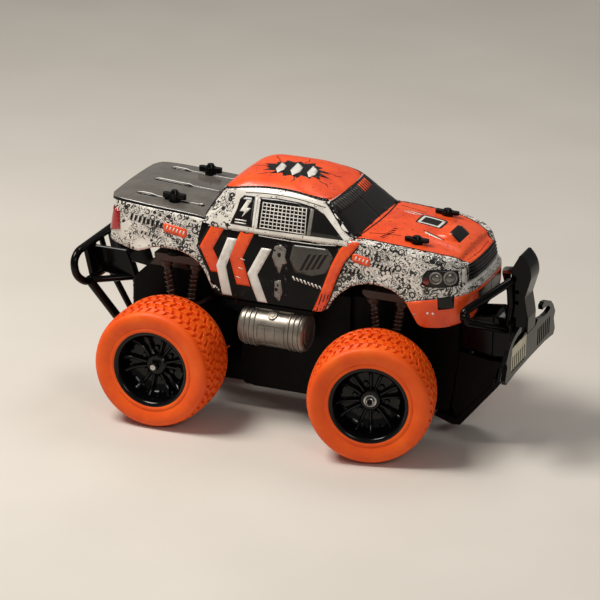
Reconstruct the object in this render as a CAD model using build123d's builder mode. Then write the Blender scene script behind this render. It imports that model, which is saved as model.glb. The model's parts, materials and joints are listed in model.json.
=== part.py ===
from build123d import *
from math import cos, radians, sin
import os

os.makedirs("parts", exist_ok=True)

# ---------------------------------------------------------------- driving dimensions, mm
# +X is the front of the truck, +Y its left side, Z = 0 the ground.
# Stations along the truck are counted from the rear/front wheel mid-point, which lies at
# mid_x in the model, so that the model's origin is the centre of its footprint.
mid_x = -8.7

wheel_r = 45.0          # tyre outer radius
tyre_w = 46.0           # tyre width
rim_r = 27.5            # rim barrel, where the tyre sits
rim_wall = 1.5
rear_x = -80.3          # rear axle
king_x = 76.6           # front kingpins
king_y = 50.4
king_to_wheel = 16.0    # kingpin to the middle of the wheel
rest_steer = 13.4       # front wheels stand turned to the left, degrees
wheel_y = 66.0          # rear wheel centres
axle_r = 2.0
running = 0.06          # radial clearance of a shaft in its bush
air = 0.4               # gap between pieces that move past each other

belly_half = 24.0       # chassis tub, half width between the wheels
spine_half = 20.0       # chassis tub, half width above the axles
belly_z = 20.0          # underside of the tub between the wheels
tub_wall = 2.0
switch_x = 36.6         # power switch, in the belly's floor
deck_z = 96.0           # top of the tub
shell_wall = 1.6
beltline_z = 150.0      # where the cab meets the lower body
shock_y = 29.0          # shock absorbers, distance from the centre plane
shock_low_z = 62.0      # their lower eyes
gear_module = 0.8
bumper_tube_r = 2.8

RIGHT, LEFT = -1, 1


# ---------------------------------------------------------------- placing planes
def level(height):
    """Horizontal plane; local x, y = station, left."""
    return Plane(origin=(mid_x, 0, height))


def side(y=0.0):
    """Upright plane along the truck; local x, y = station, height; normal to the right."""
    return Plane(origin=(mid_x, y, 0), x_dir=(1, 0, 0), z_dir=(0, -1, 0))


def station(x):
    """Upright plane across the truck; local x, y = left, height; normal forwards."""
    return Plane(origin=(mid_x + x, 0, 0), x_dir=(0, 1, 0), z_dir=(1, 0, 0))


def spot(x, y, z):
    """A point given by its station, its distance to the left and its height."""
    return (mid_x + x, y, z)


def axle_plane(x, y, heading, hand):
    """Plane through a wheel's axle line: local x = outwards along the axle, local y = up."""
    turn = radians(heading)
    outward = (-hand * sin(turn), hand * cos(turn), 0)
    forward = (outward[1], -outward[0], 0)
    return Plane(origin=spot(x, y, wheel_r), x_dir=outward, z_dir=forward)


def finish(part, name):
    part.label = name
    export_step(part, f"parts/{name}.step")


# ---------------------------------------------------------------- wheels
def tyre_part(frame):
    half = tyre_w / 2
    with BuildPart() as tyre:
        with BuildSketch(frame):
            with BuildLine():
                Polyline(
                    (-half + 3.1, rim_r), (-half + 3.1, rim_r + 1.3), (-half + 1.6, rim_r + 1.3),
                    (-half + 0.6, rim_r + 6), (-half, wheel_r - 8),
                    (-half + 3.5, wheel_r - 1.6), (-half + 9, wheel_r), (half - 9, wheel_r),
                    (half - 3.5, wheel_r - 1.6), (half, wheel_r - 8), (half - 0.6, rim_r + 6),
                    (half - 1.6, rim_r + 1.3), (half - 3.1, rim_r + 1.3), (half - 3.1, rim_r),
                    close=True,
                )
            make_face()
            with BuildLine():
                Polyline(
                    (-half + 8, rim_r - 1), (-half + 4, rim_r + 7), (-half + 7, wheel_r - 6),
                    (half - 7, wheel_r - 6), (half - 4, rim_r + 7), (half - 8, rim_r - 1),
                    close=True,
                )
            make_face(mode=Mode.SUBTRACT)
        revolve(axis=Axis(frame.origin, frame.x_dir))
    return tyre.part


def rim_part(frame, bore_r):
    half = tyre_w / 2
    disc = Plane(origin=frame.from_local_coords((3.0, 0, 0)), x_dir=(0, 0, 1), z_dir=frame.x_dir)
    axle = Axis(frame.origin, frame.x_dir)
    with BuildPart() as rim:
        with BuildSketch(frame):
            with BuildLine():
                Polyline(
                    (-half + 1.6, rim_r + 1.2), (-half + 3, rim_r + 1.2), (-half + 3, rim_r),
                    (half - 3, rim_r), (half - 3, rim_r + 1.2), (half - 1.6, rim_r + 1.2),
                    (half - 1.6, rim_r - rim_wall), (-half + 1.6, rim_r - rim_wall), close=True,
                )
            make_face()
        revolve(axis=axle)
        with BuildSketch(disc):
            Circle(7.5)
            with PolarLocations(0, 6):
                with Locations((rim_r / 2 + 1, 0)):
                    Trapezoid(8.0, rim_r - 5, 82, rotation=90)
        extrude(amount=4.0)
        with BuildSketch(disc.offset(-7.0)):
            Circle(5.0)
        extrude(amount=14.0)
        with BuildSketch(disc.offset(-20)):
            Circle(bore_r)
        extrude(amount=40, mode=Mode.SUBTRACT)
    return rim.part


def nut_part(frame, inner_face):
    face = Plane(
        origin=frame.from_local_coords((inner_face, 0, 0)), x_dir=(0, 0, 1), z_dir=frame.x_dir
    )
    with BuildPart() as nut:
        with BuildSketch(face):
            Circle(4.0)
            Circle(axle_r, mode=Mode.SUBTRACT)
        extrude(amount=0.8)
        with BuildSketch(face.offset(0.8)):
            RegularPolygon(3.2, 6)
            Circle(axle_r, mode=Mode.SUBTRACT)
        extrude(amount=2.6)
    return nut.part


hub_face = 10.0         # outer end of a rim's hub, from the middle of the wheel
front_frames = {}
for hand, where in ((RIGHT, "right"), (LEFT, "left")):
    reach_x = -hand * king_to_wheel * sin(radians(rest_steer))
    reach_y = hand * (king_y + king_to_wheel * cos(radians(rest_steer)))
    frame = axle_plane(king_x + reach_x, reach_y, rest_steer, hand)
    front_frames[hand] = frame
    finish(tyre_part(frame), f"front_tyre_{where}")
    finish(rim_part(frame, axle_r + running), f"front_rim_{where}")
    finish(nut_part(frame, hub_face + 0.1 + air), f"front_wheel_nut_{where}")

    rear = axle_plane(rear_x, hand * wheel_y, 0, hand)
    finish(tyre_part(rear), f"rear_tyre_{where}")
    finish(rim_part(rear, axle_r), f"rear_rim_{where}")

with BuildPart() as rear_nuts:
    for hand in (RIGHT, LEFT):
        add(nut_part(axle_plane(rear_x, hand * wheel_y, 0, hand), hub_face))
finish(rear_nuts.part, "rear_wheel_nuts")

# ---------------------------------------------------------------- steering
steer_arm = 16.0        # kingpin to tie rod pin, and servo shaft to its pin
ear_gap = 7.6           # half height of the knuckle between the axle's ears
ear_t = 3.0
king_r = 1.5
pin_r = 1.2
rod_z = 38.0            # underside of the tie rod
rod_t = 3.0

for hand, where in ((RIGHT, "right"), (LEFT, "left")):
    hub = front_frames[hand]
    ring = Plane(origin=spot(king_x, hand * king_y, wheel_r), x_dir=hub.z_dir, z_dir=(0, 0, 1))
    stub = Plane(
        origin=spot(king_x, hand * king_y, wheel_r), x_dir=(0, 0, 1), z_dir=hub.x_dir
    )
    with BuildPart() as knuckle:
        with BuildSketch(ring.offset(-ear_gap)):
            Circle(4.4)
        extrude(amount=2 * ear_gap)
        with BuildSketch(ring.offset(-ear_gap - ear_t - 0.6)):
            Circle(king_r)
        extrude(amount=2 * (ear_gap + ear_t + 0.6))
        with BuildSketch(stub):
            Circle(axle_r)
        extrude(amount=king_to_wheel + hub_face + 4.0)
        with BuildSketch(stub.offset(3.0)):
            Circle(4.0)
        extrude(amount=5.6)
        with BuildSketch(ring.offset(rod_z + rod_t + 0.5 - wheel_r)):
            with BuildLine():
                Polyline(
                    (4.0, -3.4), (-steer_arm, -2.6), (-steer_arm - 2.6, 0), (-steer_arm, 2.6),
                    (4.0, 3.4), close=True,
                )
            make_face()
        extrude(amount=3.0)
        with BuildSketch(ring.offset(rod_z - 0.6 - wheel_r)):
            with Locations((-steer_arm, 0)):
                Circle(pin_r)
        extrude(amount=rod_t + 1.6)
    finish(knuckle.part, f"steering_knuckle_{where}")

swing = radians(rest_steer)
pin_x = king_x - steer_arm * cos(swing)
pin_shift = -steer_arm * sin(swing)
with BuildPart() as tie_rod:
    with BuildSketch(level(rod_z)):
        with Locations((pin_x + 0.4, pin_shift)):
            Rectangle(6.0, 2 * king_y)
            with Locations((0, -king_y), (0, king_y)):
                Circle(4.2)
            with Locations((0, 0)):
                Circle(4.6)
    extrude(amount=rod_t)
    with BuildSketch(level(rod_z)):
        with Locations((pin_x + 0.4, pin_shift)):
            with Locations((0, -king_y), (0, 0), (0, king_y)):
                SlotOverall(5.2, 2 * pin_r + 0.9)
    extrude(amount=rod_t, mode=Mode.SUBTRACT)
finish(tie_rod.part, "tie_rod")

horn_z = 57.6           # underside of the servo horn
with BuildPart() as servo_horn:
    horn = Plane(
        origin=spot(king_x, 0, horn_z), x_dir=(cos(swing), sin(swing), 0), z_dir=(0, 0, 1)
    )
    with BuildSketch(horn):
        with BuildLine():
            Polyline((3, -3.4), (-steer_arm, -2.4), (-steer_arm, 2.4), (3, 3.4), close=True)
        make_face()
        Circle(4.2)
        with Locations((-steer_arm, 0)):
            Circle(2.4)
    extrude(amount=2.4)
    with BuildSketch(horn.offset(rod_z - 5.0 - horn_z)):
        with Locations((-steer_arm, 0)):
            Circle(pin_r)
    extrude(amount=horn_z + 5.0 - rod_z)
    with BuildSketch(horn):
        Circle(1.6)
    extrude(amount=10.0)
finish(servo_horn.part, "servo_horn")

# ---------------------------------------------------------------- front axle beam
with BuildPart() as front_axle:
    with BuildSketch(station(king_x - 4.0)):
        with BuildLine():
            Polyline(
                (-king_y + 6.2, wheel_r - ear_gap - ear_t), (-king_y + 6.2, wheel_r + ear_gap + ear_t),
                (-34, 53), (-24, 50), (24, 50), (34, 53),
                (king_y - 6.2, wheel_r + ear_gap + ear_t), (king_y - 6.2, wheel_r - ear_gap - ear_t),
                (30, 38), (-30, 38), close=True,
            )
        make_face()
    extrude(amount=8.0)
    for hand in (RIGHT, LEFT):
        for low in (wheel_r - ear_gap - air - ear_t + 0.2, wheel_r + ear_gap + air - 0.2):
            with BuildSketch(level(low)):
                with Locations((king_x, hand * (king_y - 4.0))):
                    Rectangle(8.0, 8.0)
                with Locations((king_x, hand * king_y)):
                    Circle(4.0)
                    Circle(king_r + running, mode=Mode.SUBTRACT)
            extrude(amount=ear_t)
    with BuildSketch(level(rod_z - 0.5)):
        with Locations((king_x, -king_y), (king_x, king_y)):
            Circle(4.4 + air)
    extrude(amount=2 * ear_gap - 0.2, mode=Mode.SUBTRACT)
    # perches for the shock absorbers' lower eyes
    for hand in (RIGHT, LEFT):
        with BuildSketch(side(hand * shock_y)):
            with BuildLine():
                Polyline(
                    (king_x - 3.9, 48), (king_x + 3.9, 48), (king_x + 7.5, shock_low_z - 3),
                    (king_x + 7.5, shock_low_z), (king_x - 7.5, shock_low_z),
                    (king_x - 7.5, shock_low_z - 3), close=True,
                )
            make_face()
        extrude(amount=3.5, both=True)
finish(front_axle.part, "front_axle_beam")

# ---------------------------------------------------------------- rear axle and its gears
gear_w = 4.0
drive_teeth, small_teeth, big_teeth, pinion_teeth = 36, 12, 30, 10


def pitch_r(teeth):
    return teeth * gear_module / 2


idler_lean = 38.7       # direction from the axle up to the idler, degrees
motor_lean = 14.5       # direction from the idler to the motor
idler_x = rear_x + (pitch_r(drive_teeth) + pitch_r(small_teeth)) * cos(radians(idler_lean))
idler_z = wheel_r + (pitch_r(drive_teeth) + pitch_r(small_teeth)) * sin(radians(idler_lean))
motor_x = idler_x + (pitch_r(big_teeth) + pitch_r(pinion_teeth)) * cos(radians(motor_lean))
motor_z = idler_z + (pitch_r(big_teeth) + pitch_r(pinion_teeth)) * sin(radians(motor_lean))


def gear_sketch(x, z, y, teeth, toward):
    """A gear's outline as a sketch, on the gear's left-hand face at y."""
    with BuildSketch(Plane(origin=spot(x, y, z), x_dir=(1, 0, 0), z_dir=(0, -1, 0))) as outline:
        root = pitch_r(teeth) - 1.15 * gear_module
        tip = pitch_r(teeth) + 0.8 * gear_module
        Circle(root)
        with PolarLocations(0, teeth, start_angle=toward):
            Polygon(
                (root - 0.4, -0.74), (tip, -0.28), (tip, 0.28), (root - 0.4, 0.74),
                align=None,
            )
    return outline.sketch


near_y, far_y = -1.0, 5.5       # left-hand faces of the two planes of gears

with BuildPart() as drive_gear:
    extrude(gear_sketch(rear_x, wheel_r, near_y, drive_teeth, idler_lean), amount=gear_w)
    with BuildSketch(side(near_y + 1.0)):
        with Locations((rear_x, wheel_r)):
            Circle(5.0)
    extrude(amount=gear_w + 1.5)
    with BuildSketch(side(10)):
        with Locations((rear_x, wheel_r)):
            Circle(axle_r)
    extrude(amount=20, mode=Mode.SUBTRACT)
finish(drive_gear.part, "drive_gear")

with BuildPart() as idler_gear:
    back = idler_lean + 180 + 180 / small_teeth
    extrude(gear_sketch(idler_x, idler_z, near_y + 0.5, small_teeth, back), amount=gear_w + 0.8)
    extrude(gear_sketch(idler_x, idler_z, far_y, big_teeth, motor_lean), amount=gear_w)
    with BuildSketch(side(far_y)):
        with Locations((idler_x, idler_z)):
            Circle(pitch_r(small_teeth) - 1.0)
    extrude(amount=far_y - near_y - 0.5)
    with BuildSketch(side(10)):
        with Locations((idler_x, idler_z)):
            Circle(1.5 + running)
    extrude(amount=20, mode=Mode.SUBTRACT)
finish(idler_gear.part, "idler_gear")

with BuildPart() as motor_pinion:
    back = motor_lean + 180 + 180 / pinion_teeth
    extrude(gear_sketch(motor_x, motor_z, far_y, pinion_teeth, back), amount=gear_w)
    with BuildSketch(side(far_y)):
        with Locations((motor_x, motor_z)):
            Circle(1.0)
    extrude(amount=3.0, both=True)
finish(motor_pinion.part, "motor_pinion")

with BuildPart() as rear_shaft:
    with BuildSketch(side(0)):
        with Locations((rear_x, wheel_r)):
            Circle(axle_r)
    extrude(amount=wheel_y + hub_face + 6.0, both=True)
finish(rear_shaft.part, "rear_axle_shaft")

case_right, case_split, case_left = -8.5, -0.5, 9.5      # faces of the gearbox halves
case_wall = 1.8
tube_end = 54.0         # the axle tubes reach this far from the centre plane
case_rounds = ((rear_x, wheel_r, pitch_r(drive_teeth) + 3.4), (idler_x, idler_z, 15.2),
               (motor_x, motor_z, 8.0))


def case_outline(grow):
    for x, z, r in case_rounds:
        with Locations((x, z)):
            Circle(r + grow)
    make_hull()


for low, high, name in ((case_right, case_split, "right"), (case_split, case_left, "left")):
    is_right = name == "right"
    with BuildPart() as half_case:
        with BuildSketch(side(high)):
            case_outline(0)
        extrude(amount=high - low)
        with BuildSketch(side(high if is_right else high - case_wall)):
            case_outline(-case_wall)
        extrude(amount=high - low - case_wall, mode=Mode.SUBTRACT)
        # tube out to the wheel, and the bush that carries the shaft
        with BuildSketch(side(low if is_right else tube_end)):
            with Locations((rear_x, wheel_r)):
                Circle(6.0)
        extrude(amount=tube_end + (low if is_right else -high))
        with BuildSketch(side(high + 50)):
            with Locations((rear_x, wheel_r)):
                Circle(axle_r + running)
        extrude(amount=high - low + 100, mode=Mode.SUBTRACT)
        if is_right:
            # pin that carries the idler
            with BuildSketch(side(high)):
                with Locations((idler_x, idler_z)):
                    Circle(1.5)
            extrude(amount=high - low - 0.5)
            with BuildSketch(side(near_y - 4.6)):
                with Locations((idler_x, idler_z)):
                    Circle(3.0)
            extrude(amount=near_y - 4.6 - low - 0.5)
        else:
            with BuildSketch(side(high - 0.5)):
                with Locations((idler_x, idler_z)):
                    Circle(1.5)
            extrude(amount=high - low - 0.5)
            # hole for the motor's shaft
            with BuildSketch(side(high + 1)):
                with Locations((motor_x, motor_z)):
                    Circle(3.2)
            extrude(amount=case_wall + 2, mode=Mode.SUBTRACT)
        # perch for the shock absorbers' lower eyes, on the axle tube
        hand = RIGHT if is_right else LEFT
        with BuildSketch(side(hand * shock_y)):
            with BuildLine():
                Polyline(
                    (rear_x - 3.9, 49), (rear_x + 3.9, 49), (rear_x + 7.5, shock_low_z - 3),
                    (rear_x + 7.5, shock_low_z), (rear_x - 7.5, shock_low_z),
                    (rear_x - 7.5, shock_low_z - 3), close=True,
                )
            make_face()
        extrude(amount=3.5, both=True)
    finish(half_case.part, f"gearbox_half_{name}")

with BuildPart() as drive_motor:
    with BuildSketch(side(case_left + 24.0)):
        with Locations((motor_x, motor_z)):
            Circle(10.0)
            Rectangle(20.0, 15.0, mode=Mode.INTERSECT)
    extrude(amount=24.0)
    with BuildSketch(side(case_left + 25.5)):
        with Locations((motor_x, motor_z)):
            Circle(3.0)
    extrude(amount=28.0)
    with BuildSketch(side(case_left + 1)):
        with Locations((motor_x, motor_z)):
            Circle(1.0 + running)
    extrude(amount=8.0, mode=Mode.SUBTRACT)
finish(drive_motor.part, "drive_motor")

# ---------------------------------------------------------------- shock absorbers
shelf_low = {"front": 104.5, "rear": 108.5}     # underside of the towers' shelves
eye_gap = 1.0           # a tilted eye stays this far under its shelf
lower_eye = 4.7         # lower eyes of a pair, each side of the axle
shock_sets = {
    "front": (king_x, ((-10.8, -lower_eye), (10.8, lower_eye))),
    "rear": (rear_x, ((-13.0, -lower_eye), (10.5, lower_eye))),
}
spring_r, spring_wire = 3.9, 0.9
cylinder_r, cylinder_bore = 2.7, 2.0
damper_rod_r = 0.9


def shock_plane(centre_x, hand, top_dx, top_z, low_dx):
    """Plane at a shock absorber's top eye, its normal running down to the lower eye."""
    drop = Vector(low_dx - top_dx, 0, shock_low_z - top_z)
    return Plane(
        origin=spot(centre_x + top_dx, hand * shock_y, top_z), x_dir=(0, 1, 0), z_dir=drop
    ), drop.length


for end, (centre_x, legs) in shock_sets.items():
    top_z = shelf_low[end] - eye_gap
    with BuildPart() as cylinders:
        for hand in (RIGHT, LEFT):
            for top_dx, low_dx in legs:
                plane, length = shock_plane(centre_x, hand, top_dx, top_z, low_dx)
                with BuildSketch(plane):
                    Circle(cylinder_r)
                extrude(amount=0.62 * length)
                with BuildSketch(plane):
                    Circle(4.6)
                extrude(amount=3.8, taper=6)
                with BuildSketch(plane.offset(0.16 * length)):
                    Circle(cylinder_bore)
                extrude(amount=0.6 * length, mode=Mode.SUBTRACT)
    finish(cylinders.part, f"{end}_shock_cylinders")
    with BuildPart() as rods:
        for hand in (RIGHT, LEFT):
            for top_dx, low_dx in legs:
                plane, length = shock_plane(centre_x, hand, top_dx, top_z, low_dx)
                with BuildSketch(plane.offset(0.32 * length)):
                    Circle(damper_rod_r)
                extrude(amount=0.66 * length)
                with BuildSketch(plane.offset(length - 3.8)):
                    Circle(4.0)
                extrude(amount=2.8)
    finish(rods.part, f"{end}_shock_rods")
    with BuildPart() as springs:
        for hand in (RIGHT, LEFT):
            for top_dx, low_dx in legs:
                plane, length = shock_plane(centre_x, hand, top_dx, top_z, low_dx)
                with BuildSketch(plane.offset(4.3)):
                    Circle(spring_r)
                    Circle(spring_r - spring_wire, mode=Mode.SUBTRACT)
                extrude(amount=length - 8.5)
    finish(springs.part, f"{end}_springs")

# ---------------------------------------------------------------- chassis tub and deck
spine_points = (
    (-114, deck_z), (-122, 88), (-122, 32), (-117, 30), (-113, 70), (-62, 81), (-37, 81), (-36, 24),
    (-32, belly_z), (42, belly_z), (47, 26), (48, 64), (104, 64), (106, 30), (112, 22), (122, 24),
    (127, 60), (127, deck_z),
)
belly_points = (
    (-36, deck_z), (-36, 24), (-32, belly_z), (42, belly_z), (47, 26), (47, deck_z),
)
step_points = ((-35, 38), (-58, 33), (-58, 26), (-54, 22), (-35, 22))


def outline(points, shrink=0.0):
    """Sketch a closed outline, drawn in by the thickness of a wall."""
    Polygon(*points, align=None)
    if shrink:
        offset(amount=-shrink, kind=Kind.INTERSECTION)


with BuildPart() as tub:
    with BuildSketch(side()):
        outline(spine_points)
    extrude(amount=spine_half, both=True)
    with BuildSketch(side()):
        outline(belly_points)
    extrude(amount=belly_half, both=True)
    # step behind the belly, under the gearbox
    with BuildSketch(side()):
        outline(step_points)
    extrude(amount=belly_half, both=True)
    with BuildSketch(side()):
        outline(spine_points, tub_wall)
    extrude(amount=spine_half - tub_wall, both=True, mode=Mode.SUBTRACT)
    with BuildSketch(side()):
        outline(belly_points, tub_wall)
    extrude(amount=belly_half - tub_wall, both=True, mode=Mode.SUBTRACT)
    # the tub is open at the top, under the deck
    with BuildSketch(level(deck_z - tub_wall - 0.5)):
        with Locations((7, 0)):
            Rectangle(240 - 2 * tub_wall, 2 * (spine_half - tub_wall))
        with Locations((5.5, 0)):
            Rectangle(83 - 2 * tub_wall, 2 * (belly_half - tub_wall))
    extrude(amount=tub_wall + 1, mode=Mode.SUBTRACT)
    # battery bay, open at the bottom
    with BuildSketch(level(19)):
        with Locations((2, 0)):
            Rectangle(58, 42)
    extrude(amount=tub_wall + 2, mode=Mode.SUBTRACT)
    # servo shaft
    with BuildSketch(level(60)):
        with Locations((king_x, 0)):
            Circle(3.0)
    extrude(amount=8, mode=Mode.SUBTRACT)
    # slot of the power switch
    with BuildSketch(level(18)):
        with Locations((switch_x, 10)):
            Rectangle(7.6, 4.4)
    extrude(amount=5, mode=Mode.SUBTRACT)
    # side rails that carry the tanks
    for hand in (RIGHT, LEFT):
        with BuildSketch(level(88)):
            with Locations((-3, hand * 34.0)):
                Rectangle(64, 20.4)
            fillet(
                [v for v in vertices() if abs(v.Y) > 40], radius=6
            )
        extrude(amount=3.0)
finish(tub.part, "chassis_tub")

deck_t = 2.5
screw_r = 1.2
screw_spots = ((-105, 0), (-50, 0), (-20, 0), (28, 0), (60, 0), (112, 0))
with BuildPart() as deck:
    with BuildSketch(level(deck_z)):
        with Locations((7, 0)):
            Rectangle(240, 2 * spine_half)
        with Locations((5.5, 0)):
            Rectangle(83, 2 * belly_half)
        with Locations(*screw_spots):
            Circle(screw_r + 0.1, mode=Mode.SUBTRACT)
    extrude(amount=deck_t)
finish(deck.part, "top_deck")

door_t, door_screw_x = 1.6, 28.0
with BuildPart() as battery_door:
    with BuildSketch(level(belly_z)):
        with Locations((2, 0)):
            RectangleRounded(61, 44, 3)
    extrude(amount=-door_t)
    with BuildSketch(level(belly_z)):
        with Locations((2, 0)):
            Rectangle(57, 41)
    extrude(amount=2.2)
    with BuildSketch(level(belly_z - 5)):
        with Locations((door_screw_x, 0)):
            Circle(screw_r + 0.1)
    extrude(amount=10, mode=Mode.SUBTRACT)
    with BuildSketch(level(belly_z - door_t)):
        with Locations((door_screw_x, 0)):
            Circle(2.8)
    extrude(amount=1.2, mode=Mode.SUBTRACT)
finish(battery_door.part, "battery_door")

cell_r, cell_len = 7.1, 48.5
with BuildPart() as cells:
    for row, (count, height) in enumerate(((3, 30.0), (2, 43.0))):
        with BuildSketch(station(-24)):
            with Locations((0, height)):
                with GridLocations(2 * cell_r + 0.2, 0, count, 1):
                    Circle(cell_r)
        extrude(amount=cell_len)
        with BuildSketch(station(-24 + cell_len)):
            with Locations((0, height)):
                with GridLocations(2 * cell_r + 0.2, 0, count, 1):
                    Circle(2.6)
        extrude(amount=1.5)
finish(cells.part, "battery_cells")

with BuildPart() as contacts:
    for x, thick in ((-25.2, 0.9), (26.4, 0.9)):
        with BuildSketch(station(x)):
            for count, height in ((3, 30.0), (2, 43.0)):
                with Locations((0, height)):
                    with GridLocations(2 * cell_r + 0.2, 0, count, 1):
                        Rectangle(10, 9)
        extrude(amount=thick)
finish(contacts.part, "battery_contacts")

with BuildPart() as board:
    with BuildSketch(level(62)):
        with Locations((5, 0)):
            Rectangle(70, 38)
    extrude(amount=1.6)
    with BuildSketch(level(63.6)):
        with Locations((15, 4)):
            Rectangle(9, 9)
        with Locations((-9, -6)):
            Rectangle(12, 7)
        with Locations((31, -10), (31, 8)):
            Circle(3.5)
    extrude(amount=3)
finish(board.part, "circuit_board")

with BuildPart() as servo:
    with BuildSketch(level(horn_z + 10.4)):
        with Locations((king_x, 0)):
            Rectangle(34, 24)
    extrude(amount=16)
    with BuildSketch(level(66.0)):
        with Locations((king_x, 0)):
            Circle(5.0)
    extrude(amount=2.2)
    with BuildSketch(level(60)):
        with Locations((king_x, 0)):
            Circle(1.6 + running)
    extrude(amount=8.2, mode=Mode.SUBTRACT)
finish(servo.part, "steering_servo")

with BuildPart() as switch_case:
    with BuildSketch(level(22.6)):
        with Locations((switch_x, 10)):
            Rectangle(9.6, 8)
    extrude(amount=6)
    with BuildSketch(level(22.6)):
        with Locations((switch_x, 10)):
            Rectangle(7.6, 4.4)
    extrude(amount=3, mode=Mode.SUBTRACT)
finish(switch_case.part, "switch_case")

switch_travel = 3.0
with BuildPart() as switch_slider:
    with BuildSketch(level(18.8)):
        with Locations((switch_x - switch_travel / 2, 10)):
            Rectangle(4.0, 3.4)
    extrude(amount=5.6)
finish(switch_slider.part, "switch_slider")

# ---------------------------------------------------------------- towers and body posts
shelf_t = 5.5
deck_top = deck_z + deck_t
shelves = {"front": (king_x, king_x - 17, king_x + 27), "rear": (rear_x, rear_x - 20, rear_x + 17)}
for end, (centre_x, start, stop) in shelves.items():
    low = shelf_low[end]
    with BuildPart() as tower:
        with BuildSketch(station(centre_x - 2.5)):
            with BuildLine():
                Polyline(
                    (-spine_half, deck_top), (spine_half, deck_top),
                    (shock_y + 5, low + 0.5), (shock_y + 5, low + shelf_t),
                    (-shock_y - 5, low + shelf_t), (-shock_y - 5, low + 0.5), close=True,
                )
            make_face()
            with Locations((0, (deck_top + low + shelf_t) / 2)):
                RectangleRounded(22, 4.5, 2, mode=Mode.SUBTRACT)
        extrude(amount=5.0)
        for hand in (RIGHT, LEFT):
            with BuildSketch(side(hand * shock_y)):
                with BuildLine():
                    Polyline(
                        (start, low + 2.5), (start + 3, low), (stop - 3, low),
                        (stop, low + 2.5), (stop, low + shelf_t), (start, low + shelf_t),
                        close=True,
                    )
                make_face()
            extrude(amount=5.5, both=True)
            if end == "rear":
                # gusset from the deck up to the back of the shelf
                with BuildSketch(side(hand * (spine_half - 2))):
                    Polygon(
                        (start - 10, deck_top), (start, low + 2.5), (start + 18, low + 2.5),
                        (start + 18, deck_top), align=None,
                    )
                extrude(amount=1.6, both=True)
    finish(tower.part, f"{end}_shock_tower")

posts = {"hood": (98.0, 32.3, 146.4, "front"), "bed": (-85.5, 33.0, 148.0, "rear")}
post_r = 3.4
knob_stem_r, knob_bore = 1.4, 1.9
with BuildPart() as body_posts:
    for x, y, top, end in posts.values():
        foot = shelf_low[end] + shelf_t
        with BuildSketch(level(foot)):
            with Locations((x, -y), (x, y)):
                Circle(post_r + 1.4)
        extrude(amount=3)
        with BuildSketch(level(foot + 3)):
            with Locations((x, -y), (x, y)):
                Circle(post_r)
        extrude(amount=top - foot - 3)
        with BuildSketch(level(top)):
            with Locations((x, -y), (x, y)):
                Circle(knob_bore)
        extrude(amount=-12, mode=Mode.SUBTRACT)
finish(body_posts.part, "body_posts")

# ---------------------------------------------------------------- side tanks
tank_r, tank_len, tank_z, tank_y = 14.0, 50.0, 73.0, 39.4
for hand, where in ((RIGHT, "right"), (LEFT, "left")):
    with BuildPart() as tank:
        with BuildSketch(station(-28)):
            with Locations((hand * tank_y, tank_z)):
                Circle(tank_r)
        extrude(amount=tank_len)
        chamfer(edges().filter_by(GeomType.CIRCLE), length=1.5)
        # straps at both ends
        for start in (-24.5, -20.8, -17.1, 9.3, 13.0, 16.7):
            with BuildSketch(station(start)):
                with Locations((hand * tank_y, tank_z)):
                    Circle(tank_r + 0.8)
                    Circle(tank_r - 1, mode=Mode.SUBTRACT)
            extrude(amount=1.8)
        # saddle up to the side rail
        with BuildSketch(level(tank_z + tank_r - 4)):
            with Locations((-3, hand * (tank_y - 1))):
                Rectangle(30, 10)
        extrude(amount=5.0)
    finish(tank.part, f"side_tank_{where}")

# ---------------------------------------------------------------- bumpers


def bar(start, end, r):
    """A round bar with ball ends between two points."""
    run = Vector(*end) - Vector(*start)
    plane = Plane(origin=start, z_dir=run)
    with BuildPart() as rod:
        with BuildSketch(plane):
            Circle(r)
        extrude(amount=run.length)
        with Locations(start, end):
            Sphere(r)
    return rod.part


def hoop(points, r):
    """Bars joined end to end through a closed list of points."""
    for here, there in zip(points, points[1:] + points[:1]):
        add(bar(spot(*here), spot(*there), r))


side_top = 105.5
with BuildPart() as rear_bumper:
    ends = ((-158.5, 40, 107.5), (-159, 46, 101.5), (-157, 46, 91), (-152, 40, 84.5))
    mirrored = tuple((x, -y, z) for x, y, z in reversed(ends))
    hoop(ends + mirrored, bumper_tube_r)
    # middle post, and the bars down to the chassis
    add(bar(spot(-158.5, 0, 107.5), spot(-152, 0, 84.5), 1.9))
    for y, r in ((-34, 3.0), (0, 2.3), (34, 3.0)):
        add(bar(spot(-152, y, 84.5), spot(-126, 0.5 * y, 40), r))
    for hand in (RIGHT, LEFT):
        add(bar(spot(-152, hand * 34, 84.5), spot(-124.6, hand * 15, 85), 2.1))
        # broad post
        with BuildSketch(side(hand * 21)):
            Polygon((-160, 107.5), (-157, 107.5), (-150.5, 84.5), (-153.5, 84.5), align=None)
        extrude(amount=7.8, both=True)
        # side plate from the post to the chassis, with a slot behind the post
        with BuildSketch(side(hand * 16)):
            Polygon(
                (-149, 86), (-152.4, 99), (-155.6, 100.5), (-157.4, side_top), (-130, side_top),
                (-125, 93), (-122, 84), (-127, 83), align=None,
            )
        extrude(amount=1.5, both=True)
    with BuildSketch(station(-125)):
        with Locations((0, 57)):
            RectangleRounded(34, 58, 3)
    extrude(amount=3.0)
finish(rear_bumper.part, "rear_bumper")

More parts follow.
